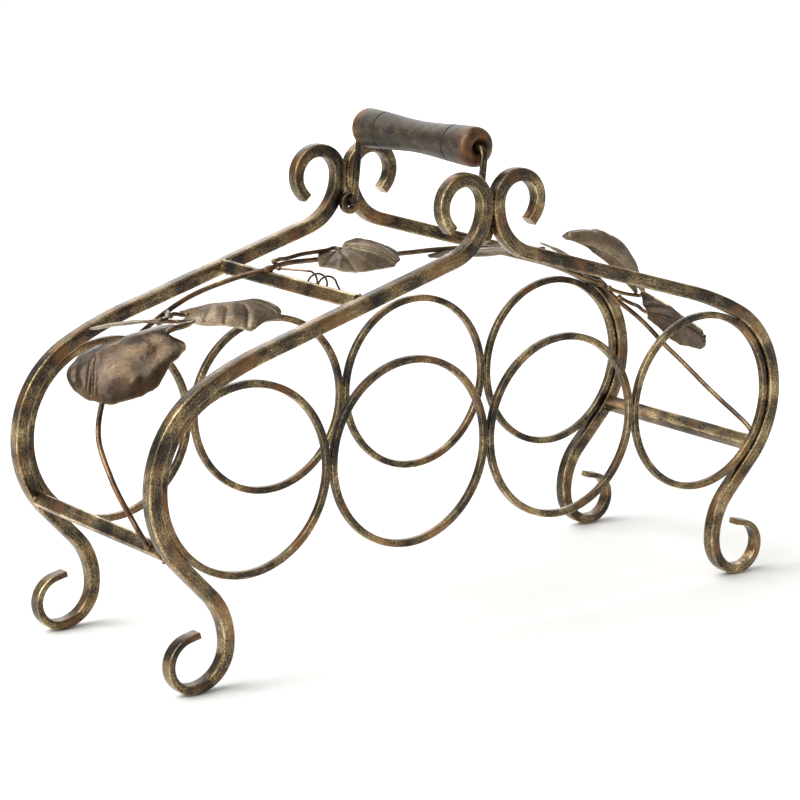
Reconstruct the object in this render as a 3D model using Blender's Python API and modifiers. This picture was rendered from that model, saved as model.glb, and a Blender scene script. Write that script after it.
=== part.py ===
"""Tabletop wine rack: two frames of forged square bar, eight bottle rings, a hinged
carrying handle with a turned grip, and a wire vine with hammered leaves.

Metres, +Z up. The origin is on the table under the middle of the rack. X runs along the
row of bottle rings, Y from the front frame to the back one.
"""
import math

import bmesh
import bpy
from mathutils import Matrix, Vector

# Bottle rings and the spacing of the two frames
BORE_RADIUS = 0.048
RING_BAR = 0.004
RING_COUNT = 4
FRAME_SPACING = 0.1342
CLEARANCE = 0.0003
EDGE_ROUND = 0.0009
RING_EDGE_ROUND = 0.0006

# Legs, each one bar bent cold in one plane, from the ring it hugs outward both ways
LEG_BAR = 0.008
CRADLE_START_DEG = -43.46
CRADLE_TURN_DEG = 105.2
SHOULDER_RADIUS = 0.1876
SHOULDER_TURN_DEG = 12.05
NECK_RADIUS = 0.0288
NECK_TURN_DEG = 77.84
CURL_RADIUS = 0.0142
CURL_TURN_DEG = 217.9
CURL_TAIL = 0.0035
CURL_TIP_BAR = 0.0062
SHIN_RUN = 0.0256
ANKLE_RADIUS = 0.0373
ANKLE_TURN_DEG = 49.74
FOOT_RADIUS = 0.0204
FOOT_TURN_DEG = 86.57
SCROLL_RADIUS = 0.0138
SCROLL_TURN_DEG = 164.9
SCROLL_TAIL = 0.0064
SCROLL_TIP_BAR = 0.0036
FOOT_FLAT_DEPTH = 0.00012

# Crossbars between the frames
LOWER_BAR_RUN = 0.008
UPPER_BAR_OFFSET = 0.0827

# Carrying handle
EYE_HEIGHT_ABOVE_RINGS = 0.112
EYE_BAR = 0.004
EYE_HOLE_RADIUS = 0.0025
BAIL_WIRE = 0.004
BAIL_RISE = 0.0443
BAIL_BEND_RADIUS = 0.005
BAIL_PIN_PROUD = 0.002
BAIL_LEAN_DEG = 5.5
GRIP_END_GAP = 0.002
GRIP_END_RADIUS = 0.011
GRIP_WAIST_RADIUS = 0.0089
GRIP_ROUND = 0.0045
GRIP_GROOVE_INSET = 0.021
GRIP_GROOVE_DEPTH = 0.0006
GRIP_GROOVE_WIDTH = 0.0012
GRIP_SINK_RADIUS = 0.0056
GRIP_SINK_DEPTH = 0.0035
GRIP_BORE_CLEARANCE = 0.0003

# Vine: three stems, leaf stalks, one tendril and eight leaves of sheet
STEM_WIRE = 0.003
STALK_WIRE = 0.0024
VINE_ARCH = 0.018
KNOT_RUN = 0.0955
STEM_STEP = 0.009
STALK_STEP = 0.004
LEAF_LENGTH = 0.060
LEAF_SHEET = 0.0008
LOBE_START_SHARE = 0.15
FURROW_SHARE = 0.1
EDGE_EASE_SHARE = 0.35
STALK_LEAD = 0.0018
KNOT_ROOM = 0.0008
TENDRIL_WIRE = 0.0012
TENDRIL_RADIUS = 0.0046
TENDRIL_PITCH = 0.0094
TENDRIL_TURNS = 2.25
TENDRIL_TAIL = 0.007
TENDRIL_LEAD = 0.0164
TENDRIL_GAP_TO_BAR = 0.0024

# Tessellation
FINE_STEP_DEG = 8.8
COARSE_STEP_DEG = 12.2
RING_STEPS = 32
GRIP_STEPS = 20
LEAF_ROWS = 10
LEAF_COLUMNS = 8
SLIM_LEAF_COLUMNS = 4
TENDRIL_STEPS = 12

RING_OUTER = BORE_RADIUS + RING_BAR
RING_PITCH = 2 * RING_OUTER + CLEARANCE
OUTER_RING_X = RING_PITCH * (RING_COUNT - 1) / 2
CRADLE_RADIUS = RING_OUTER + CLEARANCE + LEG_BAR / 2
FRAME_Y = FRAME_SPACING / 2
INNER_FACE_Y = FRAME_Y - LEG_BAR / 2
CROSSBAR_LENGTH = 2 * (INNER_FACE_Y - CLEARANCE)

IRON = (0.115, 0.085, 0.055)
GOLD = (0.42, 0.30, 0.13)
WOOD = (0.10, 0.075, 0.045)
LEAF_BRONZE = (0.20, 0.16, 0.12)


for leftover in list(bpy.data.objects):
    bpy.data.objects.remove(leftover, do_unlink=True)

rack = bpy.data.collections.new("Tabletop wine rack")
bpy.context.scene.collection.children.link(rack)


def finish(name, colour, roughness, metallic):
    material = bpy.data.materials.new(name)
    material.use_nodes = True
    shader = material.node_tree.nodes["Principled BSDF"]
    shader.inputs["Base Color"].default_value = (*colour, 1.0)
    shader.inputs["Roughness"].default_value = roughness
    shader.inputs["Metallic"].default_value = metallic
    return material


def settle(obj, colour, roughness=0.45, metallic=0.9):
    """Link an object to the rack and give it its own material."""
    rack.objects.link(obj)
    obj.data.materials.clear()
    obj.data.materials.append(finish(obj.name + "_finish", colour, roughness, metallic))
    return obj


# Leg centreline

class Station:
    """A place on the leg's centreline, in the plane of the frame."""

    def __init__(self, x, z, heading, run):
        self.x = x
        self.z = z
        self.heading = heading
        self.run = run

    def aside(self, distance):
        """The point that lies the given distance to the left of the heading."""
        return (self.x - distance * math.sin(self.heading), self.z + distance * math.cos(self.heading))


def follow_line(stations, length):
    last = stations[-1]
    x = last.x + length * math.cos(last.heading)
    z = last.z + length * math.sin(last.heading)
    stations.append(Station(x, z, last.heading, last.run + length))


def follow_arc(stations, radius, turn_deg, step_deg=COARSE_STEP_DEG):
    """Bend on round an arc; a positive turn is to the left."""
    last = stations[-1]
    turn = math.radians(turn_deg)
    side = math.copysign(radius, turn)
    centre_x, centre_z = last.aside(side)
    steps = max(2, math.ceil(abs(turn_deg) / step_deg))
    for step in range(1, steps + 1):
        heading = last.heading + turn * step / steps
        x = centre_x + side * math.sin(heading)
        z = centre_z - side * math.cos(heading)
        stations.append(Station(x, z, heading, last.run + radius * abs(turn) * step / steps))


def upper_leg():
    """From the low end of the cradle up over the shoulder to the tip of the top curl."""
    start = math.radians(CRADLE_START_DEG)
    x = OUTER_RING_X + CRADLE_RADIUS * math.cos(start)
    z = CRADLE_RADIUS * math.sin(start)
    stations = [Station(x, z, start + math.pi / 2, 0.0)]
    follow_arc(stations, CRADLE_RADIUS, CRADLE_TURN_DEG, FINE_STEP_DEG)
    follow_arc(stations, SHOULDER_RADIUS, SHOULDER_TURN_DEG)
    slope = stations[-1].heading
    neck_start_x = (LEG_BAR + CLEARANCE) / 2 + NECK_RADIUS * (1 - math.sin(slope))
    follow_line(stations, (stations[-1].x - neck_start_x) / -math.cos(slope))
    follow_arc(stations, NECK_RADIUS, -NECK_TURN_DEG)
    follow_arc(stations, CURL_RADIUS, -CURL_TURN_DEG)
    follow_line(stations, CURL_TAIL)
    return stations


def lower_leg():
    """From the low end of the cradle down the shin to the tip of the foot scroll."""
    start = math.radians(CRADLE_START_DEG)
    x = OUTER_RING_X + CRADLE_RADIUS * math.cos(start)
    z = CRADLE_RADIUS * math.sin(start)
    stations = [Station(x, z, start - math.pi / 2, 0.0)]
    follow_line(stations, SHIN_RUN)
    follow_arc(stations, ANKLE_RADIUS, ANKLE_TURN_DEG)
    follow_arc(stations, FOOT_RADIUS, FOOT_TURN_DEG)
    follow_arc(stations, SCROLL_RADIUS, SCROLL_TURN_DEG)
    follow_line(stations, SCROLL_TAIL)
    return stations


UPPER_LEG = upper_leg()
LOWER_LEG = lower_leg()
UPPER_RUN = UPPER_LEG[-1].run
LOWER_RUN = LOWER_LEG[-1].run


def ease(share):
    share = min(max(share, 0.0), 1.0)
    return share * share * (3 - 2 * share)


def half_bar(run, total, taper_run, tip_bar):
    """Half the bar's width in the plane of the frame, forged down towards its tip."""
    share = ease((run - (total - taper_run)) / taper_run)
    return (LEG_BAR + (tip_bar - LEG_BAR) * share) / 2


def leg_outline():
    """Closed outline of the right leg: up one edge of the bar and back down the other."""
    scroll_taper = LOWER_RUN - SHIN_RUN
    curl_taper = CURL_RADIUS * math.radians(CURL_TURN_DEG)
    rows = []
    for station in reversed(LOWER_LEG[1:]):
        half = half_bar(station.run, LOWER_RUN, scroll_taper, SCROLL_TIP_BAR)
        rows.append((station.aside(-half), station.aside(half)))
    for station in UPPER_LEG:
        half = half_bar(station.run, UPPER_RUN, curl_taper, CURL_TIP_BAR)
        rows.append((station.aside(half), station.aside(-half)))
    inner = [row[0] for row in rows]
    outer = [row[1] for row in rows]
    return inner + outer[::-1]


LEG_OUTLINE = leg_outline()
RING_HEIGHT = -min(z for x, z in LEG_OUTLINE) - FOOT_FLAT_DEPTH


def leg_at(run):
    """The station at a run along the upper leg, between the bent points."""
    for before, after in zip(UPPER_LEG, UPPER_LEG[1:]):
        if run <= after.run:
            share = (run - before.run) / (after.run - before.run)
            x = before.x + (after.x - before.x) * share
            z = before.z + (after.z - before.z) * share
            heading = before.heading + (after.heading - before.heading) * share
            return Station(x, z, heading, run)
    return UPPER_LEG[-1]


def run_at_offset(offset):
    """The run at which the slope of the leg comes down to a distance from the middle."""
    for before, after in zip(UPPER_LEG, UPPER_LEG[1:]):
        if before.x >= offset > after.x:
            share = (before.x - offset) / (before.x - after.x)
            return before.run + (after.run - before.run) * share
    return UPPER_RUN


def make_leg(name, side, y):
    curve = bpy.data.curves.new(name, "CURVE")
    curve.dimensions = "2D"
    curve.fill_mode = "BOTH"
    curve.extrude = LEG_BAR / 2
    spline = curve.splines.new("POLY")
    spline.points.add(len(LEG_OUTLINE) - 1)
    for point, (x, z) in zip(spline.points, LEG_OUTLINE):
        height = max(z + RING_HEIGHT, 0.0)
        point.co = (side * x, height, 0.0, 1.0)
    spline.use_cyclic_u = True
    leg = bpy.data.objects.new(name, curve)
    leg.location = (0.0, y, 0.0)
    leg.rotation_euler = (math.pi / 2, 0.0, 0.0)
    weld = leg.modifiers.new("Weld", "WELD")
    weld.merge_threshold = 0.00001
    bevel = leg.modifiers.new("Bevel", "BEVEL")
    bevel.width = EDGE_ROUND
    bevel.segments = 1
    bevel.limit_method = "ANGLE"
    bevel.angle_limit = math.radians(40)
    return settle(leg, IRON)


for end, y in (("front", -FRAME_Y), ("rear", FRAME_Y)):
    make_leg(end + "_left_leg", -1, y)
    make_leg(end + "_right_leg", 1, y)


# Bottle rings, square bar rolled round and welded shut

def turned(name, profile, steps, closed):
    """Turn a profile of (radius, height) about the local Z axis."""
    mesh = bpy.data.meshes.new(name)
    points = [(radius, 0.0, height) for radius, height in profile]
    edges = [(index, index + 1) for index in range(len(points) - 1)]
    if closed:
        edges.append((len(points) - 1, 0))
    mesh.from_pydata(points, edges, [])
    obj = bpy.data.objects.new(name, mesh)
    screw = obj.modifiers.new("Screw", "SCREW")
    screw.steps = steps
    screw.render_steps = steps
    screw.use_merge_vertices = True
    screw.merge_threshold = 0.00001
    screw.use_smooth_shade = True
    return obj


def bar_profile(inner, outer, width, rounding):
    """Section of a bar bent into a ring, down its outer side first."""
    top = width / 2
    return [
        (outer - rounding, top),
        (outer, top - rounding),
        (outer, rounding - top),
        (outer - rounding, -top),
        (inner + rounding, -top),
        (inner, rounding - top),
        (inner, top - rounding),
        (inner + rounding, top),
    ]


def ring_x(index):
    return RING_PITCH * index - OUTER_RING_X


for end, y in (("front", -FRAME_Y), ("rear", FRAME_Y)):
    for index in range(RING_COUNT):
        section = bar_profile(BORE_RADIUS, RING_OUTER, RING_BAR, RING_EDGE_ROUND)
        ring = turned(f"{end}_ring_{index + 1}", section, RING_STEPS, closed=True)
        ring.location = (ring_x(index), y, RING_HEIGHT)
        ring.rotation_euler = (math.pi / 2, 0.0, 0.0)
        settle(ring, IRON)


# Crossbars, butted between the frames and turned with the bar they meet

def make_crossbar(name, side, run):
    bpy.ops.mesh.primitive_cube_add(size=1.0)
    bar = bpy.context.active_object
    for home in list(bar.users_collection):
        home.objects.unlink(bar)
    bar.name = name
    bar.data.name = name
    bar.data.transform(Matrix.Diagonal((LEG_BAR, CROSSBAR_LENGTH, LEG_BAR, 1.0)))
    station = leg_at(run)
    bar.location = (side * station.x, 0.0, station.z + RING_HEIGHT)
    bar.rotation_euler = (0.0, -side * station.heading, 0.0)
    bevel = bar.modifiers.new("Bevel", "BEVEL")
    bevel.width = EDGE_ROUND
    bevel.segments = 1
    return settle(bar, IRON)


UPPER_BAR_RUN = run_at_offset(UPPER_BAR_OFFSET)
make_crossbar("lower_left_crossbar", -1, LOWER_BAR_RUN)
make_crossbar("lower_right_crossbar", 1, LOWER_BAR_RUN)
make_crossbar("upper_left_crossbar", -1, UPPER_BAR_RUN)


# Handle eyes, welded behind the necks of the frames

EYE_HEIGHT = RING_HEIGHT + EYE_HEIGHT_ABOVE_RINGS
EYE_Y = INNER_FACE_Y - CLEARANCE - EYE_BAR / 2
EYE_OUTER = EYE_HOLE_RADIUS + EYE_BAR
for end, y in (("front", -EYE_Y), ("rear", EYE_Y)):
    section = bar_profile(EYE_HOLE_RADIUS, EYE_OUTER, EYE_BAR, EDGE_ROUND)
    eye = turned(end + "_handle_eye", section, GRIP_STEPS, closed=True)
    eye.location = (0.0, y, EYE_HEIGHT)
    eye.rotation_euler = (math.pi / 2, 0.0, 0.0)
    settle(eye, IRON)


# Bail, one wire sprung into both eyes, leaning as it stands

BAIL_Y = EYE_Y - EYE_BAR / 2 - CLEARANCE - BAIL_WIRE / 2
PIN_END_Y = EYE_Y + EYE_BAR / 2 + BAIL_PIN_PROUD
BAIL_PIN_BEND = BAIL_WIRE / 2 + CLEARANCE
GRIP_LENGTH = 2 * (BAIL_Y - BAIL_WIRE / 2 - GRIP_END_GAP)

pivot = bpy.data.objects.new("bail_pivot", None)
pivot.empty_display_size = EYE_OUTER
pivot.location = (0.0, 0.0, EYE_HEIGHT)
pivot.rotation_euler = (0.0, math.radians(BAIL_LEAN_DEG), 0.0)
rack.objects.link(pivot)


def bend(corner, before, after, radius, steps=5):
    """Points of a round bend where a wire turns square at a corner."""
    corner = Vector(corner)
    away = (Vector(before) - corner).normalized()
    onward = (Vector(after) - corner).normalized()
    centre = corner + (away + onward) * radius
    points = []
    for step in range(steps + 1):
        angle = math.pi / 2 * step / steps
        points.append(centre - onward * radius * math.cos(angle) - away * radius * math.sin(angle))
    return points


def wire(name, points, thickness, sides_level, colour=IRON):
    """A round wire with capped ends along a run of points."""
    curve = bpy.data.curves.new(name, "CURVE")
    curve.dimensions = "3D"
    curve.bevel_depth = thickness / 2
    curve.bevel_resolution = sides_level
    curve.use_fill_caps = True
    curve.twist_mode = "MINIMUM"
    spline = curve.splines.new("POLY")
    spline.points.add(len(points) - 1)
    for slot, point in zip(spline.points, points):
        slot.co = (*point, 1.0)
    spline.use_smooth = True
    obj = bpy.data.objects.new(name, curve)
    weld = obj.modifiers.new("Weld", "WELD")
    weld.merge_threshold = 0.00001
    return settle(obj, colour)


def bail_points():
    pin = (0.0, PIN_END_Y, 0.0)
    foot = (0.0, BAIL_Y, 0.0)
    top = (0.0, BAIL_Y, BAIL_RISE)
    middle = (0.0, 0.0, BAIL_RISE)
    half = [Vector(pin)]
    half += bend(foot, pin, top, BAIL_PIN_BEND)
    half += bend(top, foot, middle, BAIL_BEND_RADIUS)
    other = [Vector((point.x, -point.y, point.z)) for point in reversed(half)]
    return half + other


bail = wire("handle_bail", bail_points(), BAIL_WIRE, 2)
bail.parent = pivot


# Grip, turned wood with a waist, two cut grooves and a sunk end round the wire

def grip_profile():
    """Outline from the middle of the top end down the outside and back up the bore."""
    half = GRIP_LENGTH / 2
    bore = BAIL_WIRE / 2 + GRIP_BORE_CLEARANCE
    groove = half - GRIP_GROOVE_INSET
    points = [(bore, half - GRIP_SINK_DEPTH), (GRIP_SINK_RADIUS, half)]
    shoulder = GRIP_END_RADIUS - GRIP_ROUND
    for step in range(4):
        angle = math.pi / 2 * step / 3
        points.append((shoulder + GRIP_ROUND * math.sin(angle), half - GRIP_ROUND * (1 - math.cos(angle))))
    edge = groove + GRIP_GROOVE_WIDTH / 2
    points.append((waist_radius(edge), edge))
    points.append((waist_radius(groove) - GRIP_GROOVE_DEPTH, groove))
    edge = groove - GRIP_GROOVE_WIDTH / 2
    points.append((waist_radius(edge), edge))
    points.append((waist_radius(edge / 2), edge / 2))
    upper = [point for point in points]
    lower = [(radius, -height) for radius, height in reversed(points)]
    return upper + [(waist_radius(0.0), 0.0)] + lower


def waist_radius(height):
    share = ease(abs(height) / (GRIP_LENGTH / 2 - GRIP_ROUND))
    return GRIP_WAIST_RADIUS + (GRIP_END_RADIUS - GRIP_WAIST_RADIUS) * share


grip = turned("handle_grip", grip_profile(), GRIP_STEPS, closed=True)
grip.location = (0.0, 0.0, BAIL_RISE)
grip.rotation_euler = (math.pi / 2, 0.0, 0.0)
grip.parent = pivot
settle(grip, WOOD, roughness=0.55, metallic=0.0)


# Vine stems, wire laid over the shoulders of the rack

LIFT_OVER_BAR = LEG_BAR / 2 + STEM_WIRE / 2 + CLEARANCE
STEM_REACH_Y = INNER_FACE_Y - STEM_WIRE / 2 - CLEARANCE
LEFT_STEM_FOOT_RUN = LOWER_BAR_RUN + LEG_BAR / 2 + CLEARANCE
RIGHT_STEM_FOOT_RUN = LEFT_STEM_FOOT_RUN + STEM_WIRE / 2 + CLEARANCE

# Left stem: share of the run from the lower to the upper crossbar, share of the depth
# from the front to the rear frame, share of the full lift over a crossbar
LEFT_STEM_SHARES = (
    (0.0, 0.07, 0.45),
    (0.035, 0.08, 0.42),
    (0.114, 0.17, 0.35),
    (0.173, 0.265, 0.35),
    (0.25, 0.385, 0.40),
    (0.337, 0.455, 0.50),
    (0.45, 0.57, 0.50),
    (0.559, 0.67, 0.50),
    (0.678, 0.755, 0.50),
    (0.753, 0.795, 0.52),
    (0.824, 0.803, 0.62),
    (0.905, 0.755, 0.82),
    (0.953, 0.705, 0.95),
    (1.0, 0.65, 1.0),
)

# Right stem: the same shares, from the knot on the rear leg down to the lower crossbar
RIGHT_STEM_SHARES = (
    (0.0, 1.0, 0.0),
    (0.092, 0.998, 0.0),
    (0.22, 0.962, 0.0),
    (0.319, 0.872, 0.0),
    (0.404, 0.803, 0.0),
    (0.509, 0.712, 0.0),
    (0.603, 0.600, 0.0),
    (0.79, 0.338, 0.0),
    (0.888, 0.167, 0.0),
    (0.952, 0.06, 0.0),
    (1.0, 0.0, 0.0),
)

# Top stem: share of the straight line between its knots, share of the arch above it
TOP_STEM_SHARES = (
    (0.0, 0.0),
    (0.025, 0.13),
    (0.06, 0.24),
    (0.142, 0.38),
    (0.25, 0.53),
    (0.366, 0.68),
    (0.46, 0.84),
    (0.538, 0.95),
    (0.60, 1.0),
    (0.67, 0.99),
    (0.732, 0.89),
    (0.787, 0.74),
    (0.897, 0.35),
    (0.96, 0.12),
    (1.0, 0.0),
)


def over_rack(side, run, depth_share, lift_share):
    """A point over the sloping sides of the rack, from its place along the leg's bar."""
    x, z = leg_at(run).aside(-lift_share * LIFT_OVER_BAR)
    y = STEM_REACH_Y * (2 * depth_share - 1)
    return Vector((side * x, y, z + RING_HEIGHT))


def smooth_path(points, step, before=None, after=None):
    """Evenly spaced points on a smooth curve that comes from one point and goes on to another."""
    before = before or points[0] * 2 - points[1]
    after = after or points[-1] * 2 - points[-2]
    ends = [before] + list(points) + [after]
    dense = []
    for a, b, c, d in zip(ends, ends[1:], ends[2:], ends[3:]):
        for part in range(8):
            t = part / 8
            dense.append(0.5 * (2 * b + (c - a) * t + (2 * a - 5 * b + 4 * c - d) * t * t
                                + (3 * b - a - 3 * c + d) * t * t * t))
    dense.append(points[-1].copy())
    runs = [0.0]
    for before, after in zip(dense, dense[1:]):
        runs.append(runs[-1] + (after - before).length)
    count = max(4, round(runs[-1] / step))
    return [point_on(dense, runs, runs[-1] * index / count) for index in range(count + 1)]


def point_on(points, runs, run):
    for before, after, low, high in zip(points, points[1:], runs, runs[1:]):
        if run <= high:
            return before.lerp(after, (run - low) / (high - low))
    return points[-1].copy()


def trimmed(points, start_gap, end_gap):
    """The same path with a little taken off each end."""
    points = [point.copy() for point in points]
    points[0] += (points[1] - points[0]).normalized() * start_gap
    points[-1] += (points[-2] - points[-1]).normalized() * end_gap
    return points


def left_stem_path():
    span = UPPER_BAR_RUN - LEFT_STEM_FOOT_RUN
    return [over_rack(-1, LEFT_STEM_FOOT_RUN + span * run, depth, lift)
            for run, depth, lift in LEFT_STEM_SHARES]


def right_stem_path():
    span = RIGHT_STEM_FOOT_RUN - KNOT_RUN
    return [over_rack(1, KNOT_RUN + span * run, depth, lift)
            for run, depth, lift in RIGHT_STEM_SHARES]


def top_stem_path(start, end):
    rise = Vector((0.0, 0.0, VINE_ARCH))
    return [start.lerp(end, share) + rise * arch for share, arch in TOP_STEM_SHARES]


left_route = left_stem_path()
right_route = right_stem_path()
top_route = top_stem_path(left_route[-1], right_route[0])
stems = {
    "left": smooth_path(left_route, STEM_STEP, after=top_route[1]),
    "top": smooth_path(top_route, STEM_STEP, before=left_route[-2], after=right_route[1]),
    "right": smooth_path(right_route, STEM_STEP, before=top_route[-2]),
}
foot_heading = leg_at(LEFT_STEM_FOOT_RUN).heading
up_the_leg = Vector((-math.cos(foot_heading), 0.0, math.sin(foot_heading)))
stems["left"][1] = stems["left"][0] + up_the_leg * STEM_STEP
stems["left"] = trimmed(stems["left"], 0.0, KNOT_ROOM)
stems["top"] = trimmed(stems["top"], KNOT_ROOM, KNOT_ROOM)
stems["right"] = trimmed(stems["right"], KNOT_ROOM, 0.0)
for place, path in stems.items():
    wire("vine_stem_" + place, path, STEM_WIRE, 2)


# Leaves, cut from sheet and hammered hollow over a stake, each on a wire stalk

# Every leaf: its stem and the share of that stem's length where the stalk leaves it, the
# stalk's turning points and the leaf's foot (counted from there in shares of the leaf
# length), the lie of the leaf (from foot to tip, and out of its upper face), then its
# length and the height of its arch in shares of the leaf length, how far its left and
# right halves curl down in radians, how far its lobes reach back past the foot, and the
# relief hammered into it: depth, number of ribs along it, places of the furrows across it
LEAF_SHARES = {
    "leaf_left_broad": dict(
        stem="left", along=0.672,
        turns=((0.18, -0.14, 0.0), (0.13, -0.44, 0.06), (-0.08, -0.66, 0.09)),
        foot=(-0.277, -0.653, 0.052), axis=(-0.724, 0.546, -0.421), face=(-0.572, -0.135, 0.809),
        length=0.957, arch=0.075, curl=(0.53, 0.56), lobes=(0.142, 0.042),
        relief=0.010, ribs=0, furrows=(0.7, 0.9)),
    "leaf_left_slim": dict(
        stem="left", along=0.71,
        turns=((-0.03, -0.13, 0.04),),
        foot=(-0.197, -0.263, 0.012), axis=(-0.90, 0.42, -0.087), face=(0.03, 0.25, 0.95),
        length=0.62, arch=0.02, curl=(0.25, 0.25), lobes=(0.0, 0.0),
        relief=0.0, ribs=0, furrows=()),
    "leaf_left_ribbed": dict(
        stem="left", along=0.725,
        turns=((0.07, -0.01, -0.03),),
        foot=(0.195, -0.042, -0.047), axis=(0.811, -0.584, 0.021), face=(-0.259, -0.327, 0.909),
        length=0.831, arch=0.053, curl=(0.49, 0.44), lobes=(0.102, 0.045),
        relief=0.018, ribs=0, furrows=(0.3, 0.5, 0.7)),
    "leaf_middle": dict(
        stem="top", along=0.02,
        turns=((0.13, 0.042, 0.050), (0.30, 0.055, 0.068), (0.55, 0.065, 0.075)),
        foot=(0.721, 0.027, 0.075), axis=(0.511, -0.845, -0.157), face=(-0.200, -0.295, 0.934),
        length=0.561, arch=0.056, curl=(0.21, 0.05), lobes=(0.039, 0.149),
        relief=0.014, ribs=4, furrows=()),
    "leaf_saddle": dict(
        stem="top", along=0.73,
        turns=((0.06, -0.12, 0.05), (-0.02, -0.36, 0.11)),
        foot=(-0.248, -0.437, 0.13), axis=(-0.985, 0.16, 0.02), face=(0.02, -0.12, 0.99),
        length=1.12, arch=0.02, curl=(0.25, 0.25), lobes=(0.0, 0.0),
        relief=0.0, ribs=0, furrows=()),
    "leaf_slope": dict(
        stem="top", along=0.93,
        turns=((-0.03, -0.05, 0.09),),
        foot=(-0.11, -0.08, 0.17), axis=(-0.88, -0.20, 0.40), face=(0.42, -0.10, 0.90),
        length=0.62, arch=0.02, curl=(0.25, 0.25), lobes=(0.0, 0.0),
        relief=0.0, ribs=0, furrows=()),
    "leaf_right_upper": dict(
        stem="right", along=0.035,
        turns=((0.11, -0.14, -0.035), (0.26, -0.25, -0.055)),
        foot=(0.20, -0.287, 0.05), axis=(-0.825, 0.023, 0.565), face=(0.559, -0.124, 0.820),
        length=1.13, arch=0.25, curl=(1.15, 1.55), lobes=(0.118, 0.10),
        relief=0.012, ribs=0, furrows=(0.4, 0.7)),
    "leaf_right_lower": dict(
        stem="right", along=0.10,
        turns=((0.08, -0.14, -0.03), (0.12, -0.25, -0.06)),
        foot=(0.130, -0.345, -0.097), axis=(0.031, -0.990, -0.139), face=(0.836, -0.051, 0.547),
        length=0.836, arch=0.043, curl=(0.64, 0.28), lobes=(0.031, 0.008),
        relief=0.012, ribs=2, furrows=()),
}

# Half widths from foot to tip at even steps, on the left and the right of the midrib as
# seen from the upper face, in shares of the leaf length
EDGE_SHARES = {
    "leaf_left_broad": (
        (0.030, 0.184, 0.277, 0.506, 0.549, 0.485, 0.357, 0.187, 0.038),
        (0.030, 0.086, 0.129, 0.146, 0.128, 0.316, 0.369, 0.251, 0.054)),
    "leaf_left_slim": (
        (0.03, 0.06, 0.10, 0.14, 0.16, 0.15, 0.11, 0.06, 0.02),
        (0.03, 0.06, 0.10, 0.14, 0.16, 0.15, 0.11, 0.06, 0.02)),
    "leaf_left_ribbed": (
        (0.030, 0.070, 0.106, 0.166, 0.170, 0.275, 0.225, 0.143, 0.032),
        (0.030, 0.062, 0.144, 0.191, 0.206, 0.259, 0.120, 0.074, 0.053)),
    "leaf_middle": (
        (0.030, 0.179, 0.241, 0.232, 0.209, 0.200, 0.187, 0.113, 0.080),
        (0.030, 0.203, 0.377, 0.395, 0.408, 0.338, 0.201, 0.092, 0.035)),
    "leaf_saddle": (
        (0.03, 0.05, 0.08, 0.11, 0.13, 0.12, 0.09, 0.05, 0.02),
        (0.03, 0.05, 0.08, 0.11, 0.13, 0.12, 0.09, 0.05, 0.02)),
    "leaf_slope": (
        (0.03, 0.05, 0.08, 0.10, 0.11, 0.10, 0.08, 0.05, 0.02),
        (0.03, 0.05, 0.08, 0.10, 0.11, 0.10, 0.08, 0.05, 0.02)),
    "leaf_right_upper": (
        (0.030, 0.090, 0.145, 0.190, 0.205, 0.190, 0.150, 0.090, 0.030),
        (0.030, 0.143, 0.212, 0.290, 0.340, 0.300, 0.237, 0.140, 0.040)),
    "leaf_right_lower": (
        (0.030, 0.083, 0.138, 0.230, 0.276, 0.230, 0.207, 0.134, 0.058),
        (0.030, 0.175, 0.375, 0.306, 0.261, 0.133, 0.107, 0.089, 0.080)),
}
SLIM_LEAVES = ("leaf_left_slim", "leaf_saddle", "leaf_slope")


def leaf_frame(leaf, foot):
    """Local X from the leaf's foot to its tip, Y to its left, Z out of its upper face."""
    along = Vector(leaf["axis"]).normalized()
    face = Vector(leaf["face"])
    face = (face - along * face.dot(along)).normalized()
    turn = Matrix((along, face.cross(along), face)).transposed()
    return Matrix.Translation(foot) @ turn.to_4x4()


def half_width(shares, run):
    """Half width of one side of a leaf, eased between the measured steps."""
    place = run * (len(shares) - 1)
    below = min(int(place), len(shares) - 2)
    part = place - below
    part += (ease(part) - part) * EDGE_EASE_SHARE
    return shares[below] + (shares[below + 1] - shares[below]) * part


def relief(leaf, run, v):
    """How far the hammer has sunk the sheet, in shares of the leaf length."""
    ribs = (1 - math.cos(leaf["ribs"] * math.pi * v)) / 2 * math.sin(math.pi * run)
    furrows = sum(max(0.0, 1 - abs(run - place) / FURROW_SHARE) for place in leaf["furrows"])
    return leaf["relief"] * (ribs + furrows * (1 - v * v))


def leaf_point(leaf, edges, run, v):
    """A point of the sheet, the run from foot to tip and v from its right edge to its left."""
    side = 0 if v > 0 else 1
    u = (1 - math.cos(math.pi * run)) / 2
    half = half_width(edges[side], run)
    curl = leaf["curl"][side]
    lobe = leaf["lobes"][side] * ease(run / LOBE_START_SHARE)
    x = leaf["length"] * u - lobe * v * v * (1 - u) ** 2
    y = half * math.sin(curl * v) / curl
    z = leaf["arch"] * 4 * u * (1 - u) - half * (1 - math.cos(curl * v)) / curl
    return Vector((x, y, z - relief(leaf, run, v))) * LEAF_LENGTH


def make_leaf(name, leaf, foot):
    columns = SLIM_LEAF_COLUMNS if name in SLIM_LEAVES else LEAF_COLUMNS
    bm = bmesh.new()
    bmesh.ops.create_grid(bm, x_segments=LEAF_ROWS, y_segments=columns, size=0.5)
    for vertex in bm.verts:
        vertex.co = leaf_point(leaf, EDGE_SHARES[name], vertex.co.x + 0.5, vertex.co.y * 2)
    mesh = bpy.data.meshes.new(name)
    bm.to_mesh(mesh)
    bm.free()
    mesh.shade_smooth()
    obj = bpy.data.objects.new(name, mesh)
    obj.matrix_world = leaf_frame(leaf, foot)
    sheet = obj.modifiers.new("Solidify", "SOLIDIFY")
    sheet.thickness = LEAF_SHEET
    sheet.offset = 0.0
    return settle(obj, LEAF_BRONZE, roughness=0.5)


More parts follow.
